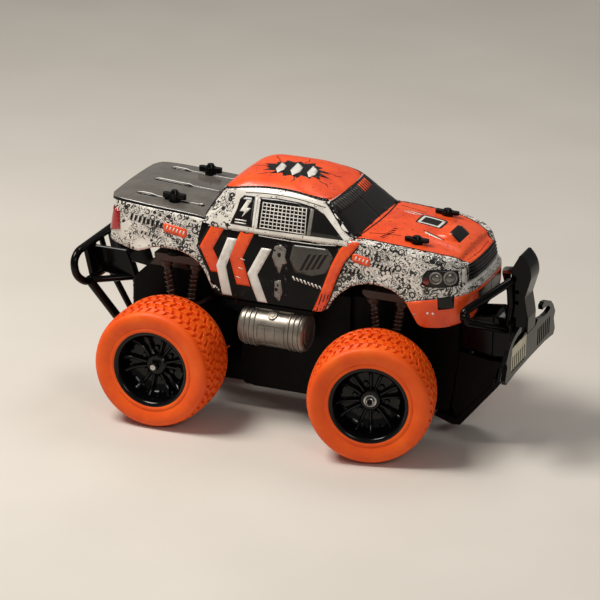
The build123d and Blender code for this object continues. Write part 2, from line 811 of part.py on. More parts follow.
nose_x = 127.0
with BuildPart() as front_bumper:
    for hand in (RIGHT, LEFT):
        inner_top, inner_low = (161, hand * 12.4, 124), (160, hand * 12.4, 88)
        tip_top, tip_low = (138.5, hand * 47, 109.5), (140.5, hand * 47, 102.5)
        for start, end in ((inner_top, tip_top), (tip_top, tip_low), (tip_low, inner_low)):
            add(bar(spot(*start), spot(*end), bumper_tube_r))
    # block between the two halves, and the arms back to the chassis
    with BuildSketch(side()):
        Polygon(
            (nose_x, 94), (nose_x, 70), (150, 66), (164, 68), (164, 92), (157, 97), (150, 97),
            align=None,
        )
    extrude(amount=14, both=True)
    with BuildSketch(level(60)):
        with Locations((146, 0)):
            Rectangle(30, 20)
    extrude(amount=45, mode=Mode.SUBTRACT)
finish(front_bumper.part, "front_bumper")

fin_low = 86.0
with BuildPart() as fin:
    with BuildSketch(side()):
        with BuildLine():
            Line((164.4, fin_low), (164.4, 97))
            Line((164.4, 97), (160.4, 97))
            Line((160.4, 97), (160.4, 132))
            Line((160.4, 132), (165.4, 141.6))
            ThreePointArc((165.4, 141.6), (167.2, 143.4), (169.2, 142.2))
            ThreePointArc((169.2, 142.2), (173.9, 135.0), (174.9, 126))
            Line((174.9, 126), (171.2, 112))
            Line((171.2, 112), (174.2, 97))
            Line((174.2, 97), (174.2, fin_low))
            Line((174.2, fin_low), (164.4, fin_low))
        make_face()
    extrude(amount=9.5, both=True)
    fillet(edges().filter_by(Axis.Z), radius=1.2)
    for z in (108, 116):
        with BuildSketch(side(10)):
            with Locations((165.5, z)):
                Circle(1.5)
        extrude(amount=20, mode=Mode.SUBTRACT)
finish(fin.part, "front_fin")

guard_x = 171.0          # back of the slotted guard under the fin
with BuildPart() as hook_bar:
    # each half runs out to a hooked end that curls in over the guard
    for hand in (RIGHT, LEFT):
        half = (
            (0, 66), (34, 65.6), (54, 63.8), (57, 67.5), (53.2, 76.4), (56, 81), (50.5, 88),
            (44.5, 92.6), (36, 95.8), (28, 97.4), (23.6, 96), (24.6, 92.6), (31, 92.4),
            (39.5, 90.6), (44, 87.4), (37.6, 86.2), (27.4, 86.6), (14, 89), (9.8, fin_low),
            (0, fin_low),
        )
        with BuildSketch(station(guard_x)):
            Polygon(*[(hand * y, z) for y, z in half], align=None)
        extrude(amount=3.4)
    # upright slots on each side of the middle
    with BuildSketch(station(guard_x)):
        with Locations((-29, 75), (29, 75)):
            with GridLocations(4.4, 0, 7, 1):
                Rectangle(2.4, 12.5)
    extrude(amount=6, mode=Mode.SUBTRACT)
    # pad back to the bumper's block
    with BuildSketch(station(164)):
        with Locations((0, 77)):
            Rectangle(16, 14)
    extrude(amount=guard_x - 164)
finish(hook_bar.part, "hook_bar")

with BuildPart() as skid_grille:
    grille_plane = Plane(
        origin=spot(158.6, 0, 56), x_dir=(0, 1, 0), z_dir=(0.985, 0, -0.17)
    )
    with BuildSketch(grille_plane):
        Rectangle(31, 14)
        with GridLocations(0, 4.0, 1, 3):
            Rectangle(23, 1.8, mode=Mode.SUBTRACT)
    extrude(amount=-2.2)
finish(skid_grille.part, "skid_grille")

cheek_t = 3.0
with BuildPart() as skid_plate:
    with BuildSketch(side()):
        Polygon(
            (125, 13.5), (131, 14), (156, 45), (153.5, 47.5), (128, 18), (113, 21.2),
            (112, 18.2), align=None,
        )
    extrude(amount=21, both=True)
    # upright cheeks between the plate and the bumper's block
    for inner in (-19, 16):
        with BuildSketch(side(inner + cheek_t)):
            Polygon(
                (127.6, 69.0), (127.6, 61), (125.2, 40), (123.6, 27), (128, 18), (153.5, 47.5),
                (156.5, 60), (163.4, 64), (163.4, 65.6), (150, 65.6), align=None,
            )
        extrude(amount=cheek_t)
finish(skid_plate.part, "skid_plate")

# ---------------------------------------------------------------- body shell
shell_half = 49.5
bed_z = 154.2           # top of the bed cover at its knobs
bed_start, bed_stop, bed_half = -122.0, -60.0, 40.0
rail_top = ((-126.3, 154.2), (-57, 150.6), (58, 151.2), (101, 148.6), (131.5, 142.8))


def shell_plan(height, grow=0.0):
    """The body's outline seen from above, as a sketch at a height."""
    half = (
        (-133, 38), (-131, 43), (-126, 46), (-105, 48.5), (-60, shell_half), (104, shell_half),
        (122, 47), (133, 42.5), (139.5, 34), (142.5, 18),
    )
    with BuildSketch(level(height)) as plan:
        Polygon(*half, *((x, -y) for x, y in reversed(half)), align=None)
        if grow:
            offset(amount=grow, kind=Kind.INTERSECTION)
    return plan.sketch


def shell_profile(wall=0.0):
    """The lower body's outline seen from the side, with its wheel arches, as a sketch.
    With a wall it is the outline of the hollow, which is open at the bottom."""
    back = ((-133, 123.6), (-130.6, 130), (-128.4, 140))
    front = ((137.5, 139.2), (139.5, 128), (142.5, 123.5), (142.5, 104), (137, 98))
    bottom = (
        (126, 95.2), (109, 94.2), (102.5, 103), (96.5, 112.5), (86, 119.3), (74, 121.3),
        (62, 119.3), (52, 113.6), (44, 105.4), (38, 96.5), (31, 93.6), (-41, 93.6),
        (-47.5, 97), (-56, 114), (-64, 120.6), (-78, 124.6), (-92, 124.2), (-103, 120.2),
        (-108, 118.4),
    )
    if wall:
        front = front[:-1]
        bottom = ((142.5, 60), (-133, 60))
    with BuildSketch(side(80)) as profile:
        Polygon(*(back + rail_top + front + bottom), align=None)
        if wall:
            offset(amount=-wall, kind=Kind.INTERSECTION)
    return profile.sketch


def cab(shrink, roof_z):
    """The cab as a solid: beltline, gutter and roof, drawn in by shrink."""
    rows = (
        (beltline_z - 1.5, -58.0, 59.5, 46.2, 7), (172.0, -40.5, 31.5, 38.0, 6),
        (roof_z, -31.0, 6.0, 28.0, 6),
    )
    with BuildPart() as solid:
        for lower, upper in zip(rows, rows[1:]):
            for height, back, front, half, corner in (lower, upper):
                with BuildSketch(level(height)):
                    with Locations(((back + front) / 2, 0)):
                        RectangleRounded(
                            front - back - 2 * shrink, 2 * (half - shrink), corner - shrink
                        )
            loft()
    return solid.part


with BuildPart() as shell_hollow:
    extrude(shell_plan(50, -shell_wall), amount=120)
    extrude(shell_profile(shell_wall), amount=160, mode=Mode.INTERSECT)
    add(cab(shell_wall, 181.0 - shell_wall))
    with BuildSketch(level(140)):
        with Locations((0.75, 0)):
            Rectangle(117.5 - 4, 92.4 - 4)
    extrude(amount=beltline_z - 1.5 - 140)

with BuildPart() as shell:
    extrude(shell_plan(80), amount=90)
    extrude(shell_profile(), amount=160, mode=Mode.INTERSECT)
    add(cab(0, 181.0))
    # air scoop on the bonnet
    with BuildSketch(side()):
        Polygon((88, 148.5), (94, 150.4), (116, 151.4), (121.5, 144), (88, 144), align=None)
    extrude(amount=15, both=True)
    add(shell_hollow.part, mode=Mode.SUBTRACT)
    with BuildSketch(side()):
        Polygon((110, 146.9), (110, 150), (122, 149), (122, 146.9), align=None)
    extrude(amount=12.5, both=True, mode=Mode.SUBTRACT)
    # opening for the bed cover
    with BuildSketch(level(140)):
        with Locations(((bed_start + bed_stop) / 2, 0)):
            Rectangle(bed_stop - bed_start, 2 * bed_half)
    extrude(amount=20, mode=Mode.SUBTRACT)
    # side windows
    with BuildSketch(side()):
        Polygon(
            (-37, 153.5), (-31.5, 168), (18, 168.5), (28, 166), (44, 153.5), align=None,
        )
        with Locations((23, 160)):
            Rectangle(2.4, 20, rotation=12, mode=Mode.SUBTRACT)
        with Locations((-17, 160)):
            Rectangle(4, 20, mode=Mode.SUBTRACT)
    extrude(amount=60, both=True, mode=Mode.SUBTRACT)
    # windscreen and rear window
    with BuildSketch(station(30)):
        with Locations((0, 154)):
            Trapezoid(74, 15, 70, align=(Align.CENTER, Align.MIN))
    extrude(amount=40, mode=Mode.SUBTRACT)
    with BuildSketch(station(-39)):
        with Locations((0, 155)):
            Trapezoid(66, 13, 72, align=(Align.CENTER, Align.MIN))
    extrude(amount=-30, mode=Mode.SUBTRACT)
    # holes for the knobs
    with BuildSketch(level(140)):
        with Locations((98, -32.3), (98, 32.3)):
            Circle(2.7)
    extrude(amount=20, mode=Mode.SUBTRACT)
finish(shell.part, "body_shell")

with BuildPart() as glazing:
    add(cab(shell_wall, 181.0 - shell_wall))
    add(cab(shell_wall + 0.8, 181.0 - shell_wall), mode=Mode.SUBTRACT)
    with BuildSketch(level(171.5)):
        Rectangle(200, 200)
    extrude(amount=20, mode=Mode.SUBTRACT)
finish(glazing.part, "window_glazing")

with BuildPart() as bed_cover:
    # a lid that slopes down towards the cab and stands a little proud of the rim
    with BuildSketch(side()):
        Polygon(
            (bed_start, 148.6), (bed_start, 155.4), (bed_stop, 153.4), (bed_stop, 148.6),
            align=None,
        )
    extrude(amount=bed_half, both=True)
    with BuildSketch(level(148)):
        with Locations(((bed_start + bed_stop) / 2, 0)):
            Rectangle(bed_stop - bed_start - 4, 2 * bed_half - 4)
    extrude(amount=bed_z - 2.8 - 148, mode=Mode.SUBTRACT)
    # raised ribs along the lid, the outer two in line with the knobs
    with BuildSketch(side()):
        Polygon((-116, 153), (-116, 156.0), (-62, 154.2), (-62, 153), align=None)
    extrude(amount=0.9, both=True)
    for y in (-31, 31):
        with BuildSketch(side(y)):
            Polygon((-116, 153), (-116, 156.0), (-62, 154.2), (-62, 153), align=None)
        extrude(amount=0.9, both=True)
    for depth, r in ((10, 4.8), (-20, 2.7)):
        with BuildSketch(level(bed_z)):
            with Locations((-85.5, -33), (-85.5, 33)):
                Circle(r)
        extrude(amount=depth, mode=Mode.SUBTRACT)
finish(bed_cover.part, "bed_cover")

with BuildPart() as grille:
    with BuildSketch(side()):
        Polygon(
            (139.42, 128.5), (137.6, 138.7), (138.9, 138.7), (140.7, 128.5), align=None,
        )
    extrude(amount=25, both=True)
    for z in (130.6, 133.2, 135.8):
        with BuildSketch(level(z)):
            with Locations((140, 0)):
                Rectangle(1.6, 44)
        extrude(amount=1.3, mode=Mode.SUBTRACT)
finish(grille.part, "grille")

for name, low, high, x, length in (
    ("headlamps", 124.5, 138.0, 118.0, 22.0), ("tail_lamps", 130.0, 146.0, -124.0, 6.0),
):
    with BuildPart() as lamps:
        extrude(shell_plan(low, 0.9), amount=high - low)
        extrude(shell_plan(low - 1), amount=high - low + 2, mode=Mode.SUBTRACT)
        with BuildSketch(level(low - 1)):
            with Locations((x, -45), (x, 45)):
                Rectangle(length, 20)
        extrude(amount=high - low + 2, mode=Mode.INTERSECT)
    finish(lamps.part, name)

# ---------------------------------------------------------------- body knobs and screws
knob_rows = {
    "hood": (148.8 + air, 151.2, 153.4, 154.8), "bed": (bed_z + air, 156.6, 160.2, 162.6),
}
for name, (x, y, top, end) in posts.items():
    foot, bar_low, bar_high, crown = knob_rows[name]
    for hand, where in ((RIGHT, "right"), (LEFT, "left")):
        with BuildPart() as knob:
            with BuildSketch(level(foot)):
                with Locations((x, hand * y)):
                    Circle(4.2)
            extrude(amount=bar_low - foot)
            with BuildSketch(level(bar_low)):
                with Locations((x, hand * y)):
                    SlotOverall(18, 4.6)
                    Circle(4.2)
            extrude(amount=bar_high - bar_low)
            with BuildSketch(level(bar_high)):
                with Locations((x, hand * y)):
                    Circle(3.4)
            extrude(amount=crown - bar_high, taper=25)
            with BuildSketch(level(top - 9)):
                with Locations((x, hand * y)):
                    Circle(knob_stem_r)
            extrude(amount=foot - top + 9)
        finish(knob.part, f"{name}_knob_{where}")

with BuildPart() as screws:
    for height, grow, spots in (
        (deck_top, 1, screw_spots), (belly_z - door_t + 1.2, -1, ((door_screw_x, 0),)),
    ):
        with BuildSketch(level(height)):
            with Locations(*spots):
                Circle(2.4)
        extrude(amount=grow * 1.1)
        with BuildSketch(level(height)):
            with Locations(*spots):
                Circle(screw_r)
        extrude(amount=-grow * 2.0)
finish(screws.part, "chassis_screws")
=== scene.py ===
import bpy
import json
import random
from bisect import bisect_right
from math import ceil, cos, hypot, pi, radians, sin, sqrt
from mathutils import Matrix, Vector
from mathutils.bvhtree import BVHTree
from mathutils.geometry import delaunay_2d_cdt

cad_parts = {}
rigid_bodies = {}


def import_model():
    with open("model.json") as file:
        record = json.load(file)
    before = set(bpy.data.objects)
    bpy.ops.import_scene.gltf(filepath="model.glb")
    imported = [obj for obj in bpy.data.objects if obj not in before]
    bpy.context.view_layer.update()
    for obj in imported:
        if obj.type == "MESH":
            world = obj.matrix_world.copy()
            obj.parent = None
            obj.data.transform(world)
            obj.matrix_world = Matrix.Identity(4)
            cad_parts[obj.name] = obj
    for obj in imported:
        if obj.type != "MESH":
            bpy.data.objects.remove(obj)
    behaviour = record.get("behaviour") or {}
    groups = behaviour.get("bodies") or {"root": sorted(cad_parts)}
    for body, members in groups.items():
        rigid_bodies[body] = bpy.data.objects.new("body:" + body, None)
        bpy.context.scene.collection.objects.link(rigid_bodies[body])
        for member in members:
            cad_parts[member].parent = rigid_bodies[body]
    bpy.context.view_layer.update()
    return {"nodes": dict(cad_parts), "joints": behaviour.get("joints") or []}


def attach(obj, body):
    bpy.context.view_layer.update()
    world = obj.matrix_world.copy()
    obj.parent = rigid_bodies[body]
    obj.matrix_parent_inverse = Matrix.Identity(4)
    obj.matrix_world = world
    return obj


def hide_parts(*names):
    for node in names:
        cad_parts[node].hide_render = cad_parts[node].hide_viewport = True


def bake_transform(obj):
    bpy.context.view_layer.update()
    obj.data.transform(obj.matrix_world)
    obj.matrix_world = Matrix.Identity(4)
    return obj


for leftover in list(bpy.data.objects):
    bpy.data.objects.remove(leftover)
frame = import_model()
joints = {j["name"]: j for j in frame["joints"]}
rng = random.Random(7)

# Stations along the truck are counted in millimetres from the middle of its wheelbase.
MM = 0.001
REAR_X, KING_X = -80.3, 76.6
MID_X = joints["rear_wheels_spin"]["pos_m"][0] / MM - REAR_X
RIGHT, LEFT = -1, 1
SIDES = ((RIGHT, "right"), (LEFT, "left"))


def at(x, y, z):
    """A point in the frame, from its station, distance to the left and height in mm."""
    return Vector(((x + MID_X) * MM, y * MM, z * MM))


def smooth(low, high, value):
    t = min(1.0, max(0.0, (value - low) / (high - low)))
    return t * t * (3 - 2 * t)


def table(rows, x):
    """Reads a smooth curve through rows of (x, value)."""
    if x <= rows[0][0]:
        return rows[0][1]
    if x >= rows[-1][0]:
        return rows[-1][1]
    i = next(k for k in range(len(rows) - 1) if x <= rows[k + 1][0])

    def slope(k):
        if k == 0 or k == len(rows) - 1:
            k = min(max(k, 1), len(rows) - 2)
            a, b = (rows[k - 1], rows[k]) if k == 1 else (rows[k], rows[k + 1])
            return (b[1] - a[1]) / (b[0] - a[0])
        left = (rows[k][1] - rows[k - 1][1]) / (rows[k][0] - rows[k - 1][0])
        right = (rows[k + 1][1] - rows[k][1]) / (rows[k + 1][0] - rows[k][0])
        return 0.0 if left * right <= 0 else 2 * left * right / (left + right)

    (x0, y0), (x1, y1) = rows[i], rows[i + 1]
    h = x1 - x0
    t = (x - x0) / h
    return (
        y0 * (1 + 2 * t) * (1 - t) ** 2 + slope(i) * h * t * (1 - t) ** 2
        + y1 * t * t * (3 - 2 * t) + slope(i + 1) * h * t * t * (t - 1)
    )


# ---------------------------------------------------------------- materials
def rgb(r, g, b):
    """Linear colour from 0-255 display values."""
    return tuple(
        (c / 255 / 12.92) if c / 255 <= 0.04045 else ((c / 255 + 0.055) / 1.055) ** 2.4
        for c in (r, g, b)
    )


class Finish:
    """A node material, built up call by call."""

    def __init__(self, name, roughness=0.5, metallic=0.0, coat=0.0, specular=0.5):
        self.material = bpy.data.materials.new(name)
        self.material.use_nodes = True
        self.nodes = self.material.node_tree.nodes
        self.links = self.material.node_tree.links
        self.shader = self.nodes["Principled BSDF"]
        self.set(self.shader, Roughness=roughness, Metallic=metallic)
        self.shader.inputs["Coat Weight"].default_value = coat
        self.shader.inputs["Coat Roughness"].default_value = 0.08
        self.shader.inputs["Specular IOR Level"].default_value = specular
        self.place = self.nodes.new("ShaderNodeTexCoord").outputs["Object"]

    def set(self, node, **values):
        for key, value in values.items():
            socket = node.inputs[key.replace("_", " ")]
            if isinstance(value, bpy.types.NodeSocket):
                self.links.new(value, socket)
            else:
                socket.default_value = value
        return node

    def noise(self, scale, detail=2.0, rough=0.5, distortion=0.0, place=None):
        node = self.nodes.new("ShaderNodeTexNoise")
        self.set(
            node, Vector=place or self.place, Scale=scale, Detail=detail, Roughness=rough,
            Distortion=distortion,
        )
        return node.outputs["Fac"]

    def cells(self, scale, feature="F1", output="Distance", place=None):
        node = self.nodes.new("ShaderNodeTexVoronoi")
        node.feature = feature
        self.set(node, Vector=place or self.place, Scale=scale)
        return node.outputs[output]

    def math(self, operation, a, b=0.0, clamp=False):
        node = self.nodes.new("ShaderNodeMath")
        node.operation = operation
        node.use_clamp = clamp
        for socket, value in zip(node.inputs, (a, b)):
            if isinstance(value, bpy.types.NodeSocket):
                self.links.new(value, socket)
            else:
                socket.default_value = value
        return node.outputs[0]

    def ramp(self, value, stops, constant=False):
        node = self.nodes.new("ShaderNodeValToRGB")
        if constant:
            node.color_ramp.interpolation = "CONSTANT"
        elements = node.color_ramp.elements
        while len(elements) < len(stops):
            elements.new(0.5)
        for element, (position, colour) in zip(elements, stops):
            element.position = position
            if not isinstance(colour, tuple):
                colour = (colour,) * 3
            element.color = (*colour, 1)
        self.links.new(value, node.inputs["Fac"])
        return node.outputs["Color"]

    def mix(self, share, a, b):
        node = self.nodes.new("ShaderNodeMix")
        node.data_type = "RGBA"
        for socket, value in zip((node.inputs[0], node.inputs[6], node.inputs[7]), (share, a, b)):
            if isinstance(value, bpy.types.NodeSocket):
                self.links.new(value, socket)
            elif isinstance(value, tuple):
                socket.default_value = (*value, 1)
            else:
                socket.default_value = value
        return node.outputs[2]

    def colour(self, value):
        return self.set(self.shader, Base_Color=value)

    def roughness(self, value, low, high):
        self.links.new(self.ramp(value, ((0.3, low), (0.7, high))), self.shader.inputs["Roughness"])

    def bump(self, height, strength, distance):
        node = self.nodes.new("ShaderNodeBump")
        self.set(node, Height=height, Strength=strength, Distance=distance * MM)
        self.links.new(node.outputs[0], self.shader.inputs["Normal"])
        if self.shader.inputs["Coat Weight"].default_value > 0:
            self.links.new(node.outputs[0], self.shader.inputs["Coat Normal"])


def moulded(name, dark, light, rough=(0.3, 0.45), coat=0.0, grain=0.25, size=900, metallic=0.0,
            specular=0.5):
    """Moulded plastic or metal: cloudy colour, uneven gloss and a fine skin."""
    f = Finish(name, metallic=metallic, coat=coat, specular=specular)
    cloud = f.noise(70, 3, 0.6)
    f.colour(f.ramp(cloud, ((0.32, dark), (0.7, light))))
    f.roughness(f.noise(160, 3, 0.7), *rough)
    f.bump(f.noise(size, 2, 0.6), grain, 0.05)
    return f.material


def tyre_finish():
    f = Finish("tyre_orange_rubber", roughness=0.5, specular=0.35)
    cloud = f.noise(45, 3, 0.55)
    base = f.ramp(cloud, ((0.3, rgb(224, 76, 4)), (0.55, rgb(236, 88, 8)),
                          (0.75, rgb(242, 100, 16))))
    dust = f.ramp(f.noise(520, 4, 0.7), ((0.56, 0.0), (0.78, 0.22)))
    f.colour(f.mix(dust, base, rgb(186, 70, 20)))
    f.roughness(f.noise(240, 3, 0.6), 0.44, 0.6)
    f.bump(f.noise(1300, 3, 0.6), 0.3, 0.06)
    return f.material


def doodle_finish(name, density, fine=1.0):
    """White lacquer printed all over with fine black squiggles, small rings and dots."""
    f = Finish(name, roughness=0.3, coat=0.25)
    lines = f.math("MULTIPLY", f.noise(115 * fine, 1.2, 0.5, 1.6), 9.0)
    lines = f.math("ABSOLUTE", f.math("SUBTRACT", f.math("FRACT", lines), 0.5))
    lines = f.math("LESS_THAN", lines, 0.085 + 0.05 * density)
    field = f.math("GREATER_THAN", f.noise(70 * fine, 2, 0.5), 0.56 - 0.10 * density)
    lines = f.math("MULTIPLY", lines, field)
    ring = f.math("ABSOLUTE", f.math("SUBTRACT", f.cells(205 * fine), 0.30))
    ring = f.math("LESS_THAN", ring, 0.06 + 0.012 * density)
    picked = f.math("GREATER_THAN", f.noise(85 * fine, 1, 0.5), 0.60 - 0.09 * density)
    rings = f.math("MULTIPLY", ring, picked)
    curl = f.math("MULTIPLY", f.noise(230 * fine, 0.5, 0.5, 2.2), 4.5)
    curl = f.math("ABSOLUTE", f.math("SUBTRACT", f.math("FRACT", curl), 0.5))
    curl = f.math("LESS_THAN", curl, 0.07 + 0.05 * density)
    patch = f.math("GREATER_THAN", f.noise(52 * fine, 1, 0.5), 0.60 - 0.12 * density)
    curls = f.math("MULTIPLY", curl, patch)
    blots = f.math("GREATER_THAN", f.noise(430 * fine, 2, 0.6), 0.67 - 0.02 * density)
    ink = f.math("MAXIMUM", f.math("MAXIMUM", lines, rings), f.math("MAXIMUM", curls, blots))
    paper = f.ramp(f.noise(90, 3, 0.6), ((0.35, rgb(208, 203, 194)), (0.7, rgb(232, 228, 220))))
    f.colour(f.mix(ink, paper, (0.008, 0.007, 0.007)))
    f.roughness(f.noise(200, 2, 0.5), 0.28, 0.4)
    f.bump(f.noise(260, 2, 0.5), 0.05, 0.05)
    return f.material


def printed_orange(name, marks):
    """Orange lacquer with a print of fine black flecks and smudges."""
    f = Finish(name, roughness=0.34, coat=0.2, specular=0.4)
    base = f.ramp(
        f.noise(38, 4, 0.62, 0.4),
        ((0.3, rgb(206, 58, 14)), (0.5, rgb(230, 76, 22)), (0.72, rgb(240, 92, 34))),
    )
    smudge = f.math("GREATER_THAN", f.noise(150, 4, 0.7, 0.5), 0.72 - 0.04 * marks)
    flecks = f.math("GREATER_THAN", f.noise(420, 2, 0.6), 0.70 - 0.025 * marks)
    ink = f.math("MULTIPLY", f.math("MAXIMUM", flecks, smudge), 0.85)
    f.colour(f.mix(ink, base, rgb(46, 16, 8)))
    f.roughness(f.noise(120, 3, 0.6), 0.3, 0.42)
    f.bump(f.noise(200, 2, 0.5), 0.05, 0.06)
    return f.material


def smoky_black():
    """Gloss black print with cloudy grey patches."""
    f = Finish("print_black", roughness=0.3, coat=0.04, specular=0.12)
    cloud = f.noise(58, 4, 0.65, 0.8)
    f.colour(f.ramp(cloud, ((0.55, rgb(6, 5, 5)), (0.64, rgb(18, 17, 16)),
                            (0.74, rgb(60, 57, 52)))))
    f.roughness(f.noise(140, 3, 0.6), 0.26, 0.38)
    f.bump(f.noise(300, 2, 0.5), 0.05, 0.05)
    return f.material


def lamp_glass(name, tint, rough=0.08):
    """Clear moulded lens over a bright reflector, as one faceted layer."""
    f = Finish(name, roughness=rough, metallic=0.55, coat=1.0)
    facets = f.cells(900)
    f.colour(f.ramp(facets, ((0.1, tuple(0.45 * c for c in tint)), (0.6, tint))))
    f.roughness(f.noise(300, 2, 0.5), rough, rough + 0.1)
    f.bump(facets, 0.5, 0.2)
    return f.material


def grained_metal(name, dark, light, rough):
    """Turned or drawn metal with fine scratches along it."""
    f = Finish(name, metallic=1.0)
    f.colour(f.ramp(f.noise(260, 4, 0.7), ((0.35, dark), (0.7, light))))
    f.roughness(f.noise(700, 3, 0.7), *rough)
    f.bump(f.noise(1800, 2, 0.6), 0.25, 0.03)
    return f.material


M = {
    "tyre_orange": tyre_finish(),
    "white_rear": doodle_finish("print_white_light_scribble", 1.0, 0.85),
    "white_front": doodle_finish("print_white_dense_scribble", 1.5, 0.72),
    "rail_white": doodle_finish("print_roof_rail", -0.35),
    "orange_roof": printed_orange("print_orange_roof", 0.6),
    "orange_hood": printed_orange("print_orange_hood", 1.2),
    "orange_plain": printed_orange("print_orange_plain", -0.6),
    "print_black": smoky_black(),
    "lamp_clear": lamp_glass("lamp_clear_faceted", rgb(112, 109, 104)),
    "lamp_red": lamp_glass("lamp_red_faceted", rgb(176, 14, 10)),
    "lamp_amber": lamp_glass("lamp_amber_faceted", rgb(120, 26, 18)),
}
# key, name, dark and light colour, range of roughness, coat, grain, and anything unusual
MOULDED = (
    ("rim_black", "rim_gloss_black", (3, 3, 4), (7, 7, 8), (0.12, 0.2), 0.05, 0.12,
     dict(specular=0.22)),
    ("chassis_black", "chassis_satin_black", (3, 3, 3), (8, 7, 7), (0.4, 0.52), 0, 0.4,
     dict(specular=0.1)),
    ("bumper_black", "bumper_gloss_black", (3, 3, 3), (7, 6, 6), (0.13, 0.22), 0.02, 0.2,
     dict(specular=0.14)),
    ("ink_black", "ink_black", (4, 4, 4), (9, 8, 8), (0.28, 0.38), 0.06, 0.05, dict(specular=0.3)),
    ("ink_white", "ink_white", (206, 202, 194), (232, 229, 222), (0.26, 0.36), 0.3, 0.05, {}),
    ("ink_grey", "ink_grey", (92, 88, 82), (132, 127, 120), (0.26, 0.36), 0.3, 0.05, {}),
    ("ink_dusk", "ink_dusk", (44, 41, 37), (62, 58, 53), (0.28, 0.38), 0.2, 0.05, {}),
    ("shell_inside", "shell_inside_grey", (150, 146, 140), (176, 172, 166), (0.4, 0.5), 0, 0.2, {}),
    ("window_dark", "window_smoked", (7, 5, 4), (16, 12, 10), (0.14, 0.22), 0.1, 0.04,
     dict(specular=0.4)),
    ("bed_grey", "bed_gloss_grey", (84, 80, 75), (102, 98, 92), (0.16, 0.22), 0.4, 0.06, {}),
    ("grille_black", "grille_black", (5, 5, 5), (11, 10, 10), (0.24, 0.36), 0.08, 0.2,
     dict(specular=0.35)),
    # cream for light caught on the guard's ribs: painted highlight
    ("insert_cream", "guard_ribs_painted_highlight", (186, 178, 150), (206, 199, 174), (0.3, 0.42), 0.2, 0.1,
     {}),
    ("tank_grey", "tank_silver_grey", (104, 98, 90), (142, 135, 125), (0.26, 0.4), 0.25, 0.3,
     dict(size=700, metallic=0.55)),
    ("shock_brown", "shock_dark_brown", (48, 28, 22), (72, 44, 36), (0.36, 0.5), 0, 0.3, {}),
    ("gear_white", "gear_nylon", (214, 210, 200), (232, 229, 220), (0.4, 0.5), 0, 0.2, {}),
    ("circuit_green", "circuit_green", (16, 70, 38), (26, 96, 52), (0.3, 0.45), 0.2, 0.5,
     dict(size=400)),
    ("cell_wrap", "cell_wrap", (26, 44, 66), (44, 66, 92), (0.3, 0.4), 0.3, 0.1, {}),
)
for key, name, dark, light, rough, coat, grain, more in MOULDED:
    M[key] = moulded(name, rgb(*dark), rgb(*light), rough, coat, grain, **more)
METALS = (
    ("spring_steel", "spring_bronzed_wire", (84, 66, 58), (142, 122, 110), (0.28, 0.42)),
    ("steel", "plated_steel", (150, 148, 145), (196, 194, 190), (0.2, 0.34)),
    ("contact_brass", "contact_brass", (170, 132, 60), (206, 170, 92), (0.25, 0.4)),
)
for key, name, dark, light, rough in METALS:
    M[key] = grained_metal(name, rgb(*dark), rgb(*light), rough)
M["shell_livery"] = M["white_rear"]


# ---------------------------------------------------------------- making pieces
def build(name, points, faces, materials, body, slot, replaces=(), zones=None, crease=38.0):
    """Makes a mesh piece. Points are already in the frame; zones give each face's material."""
    mesh = bpy.data.meshes.new(name)
    mesh.from_pydata([tuple(p) for p in points], [], faces)
    for m in materials if isinstance(materials, (list, tuple)) else [materials]:
        mesh.materials.append(M[m])
    if zones:
        mesh.polygons.foreach_set("material_index", zones)
    mesh.validate()
    mesh.shade_smooth()
    mesh.set_sharp_from_angle(angle=radians(crease))
    obj = bpy.data.objects.new(name, mesh)
    bpy.context.scene.collection.objects.link(obj)
    if replaces:
        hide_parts(*replaces)
    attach(obj, body)
    return obj


def thicken(obj, depth, offset=-1.0):
    mod = obj.modifiers.new("wall", "SOLIDIFY")
    mod.thickness = depth * MM
    mod.offset = offset
    mod.use_even_offset = False
    return mod


class Shape:
    """A growing list of points and faces, for one piece made of many parts."""

    def __init__(self):
        self.points, self.faces, self.zones = [], [], []

    def add(self, points, faces, zone=0):
        base = len(self.points)
        self.points += [Vector(p) for p in points]
        self.faces += [tuple(base + i for i in face) for face in faces]
        self.zones += [zone] * len(faces)

    def rings(self, rings, zone=0, closed=True, caps=True):
        """Skins a list of rings that all have the same number of points."""
        n = len(rings[0])
        points = [p for ring in rings for p in ring]
        faces = []
        for k in range(len(rings) - 1):
            for i in range(n if closed else n - 1):
                j = (i + 1) % n
                faces.append((k * n + i, k * n + j, (k + 1) * n + j, (k + 1) * n + i))
        if caps:
            faces.append(tuple(reversed(range(n))))
            faces.append(tuple((len(rings) - 1) * n + i for i in range(n)))
        self.add(points, faces, zone)

    def build(self, name, materials, body, slot, **more):
        return build(name, self.points, self.faces, materials, body, slot, zones=self.zones, **more)


class Axes:
    """A local frame: origin in the frame, three directions, sizes in mm."""

    def __init__(self, origin, out, up=(0, 0, 1)):
        self.origin = Vector(origin)
        self.out = Vector(out).normalized()
        self.side = Vector(up).cross(self.out).normalized()
        self.up = self.out.cross(self.side)

    def point(self, w, u=0.0, v=0.0):
        return self.origin + (self.out * w + self.side * u + self.up * v) * MM

    def ring(self, w, r, n=48, start=0.0):
        return [
            self.point(w, r * cos(start + 2 * pi * i / n), r * sin(start + 2 * pi * i / n))
            for i in range(n)
        ]

    def lathe(self, shape, profile, n=64, zone=0, closed=False):
        """Turns a profile of (along, radius) about the axis; a radius of 0 makes a cap."""
        rings = [self.ring(w, max(r, 0.02), n) for w, r in profile]
        if closed:
            rings.append(rings[0])
        shape.rings(rings, zone, caps=not closed)


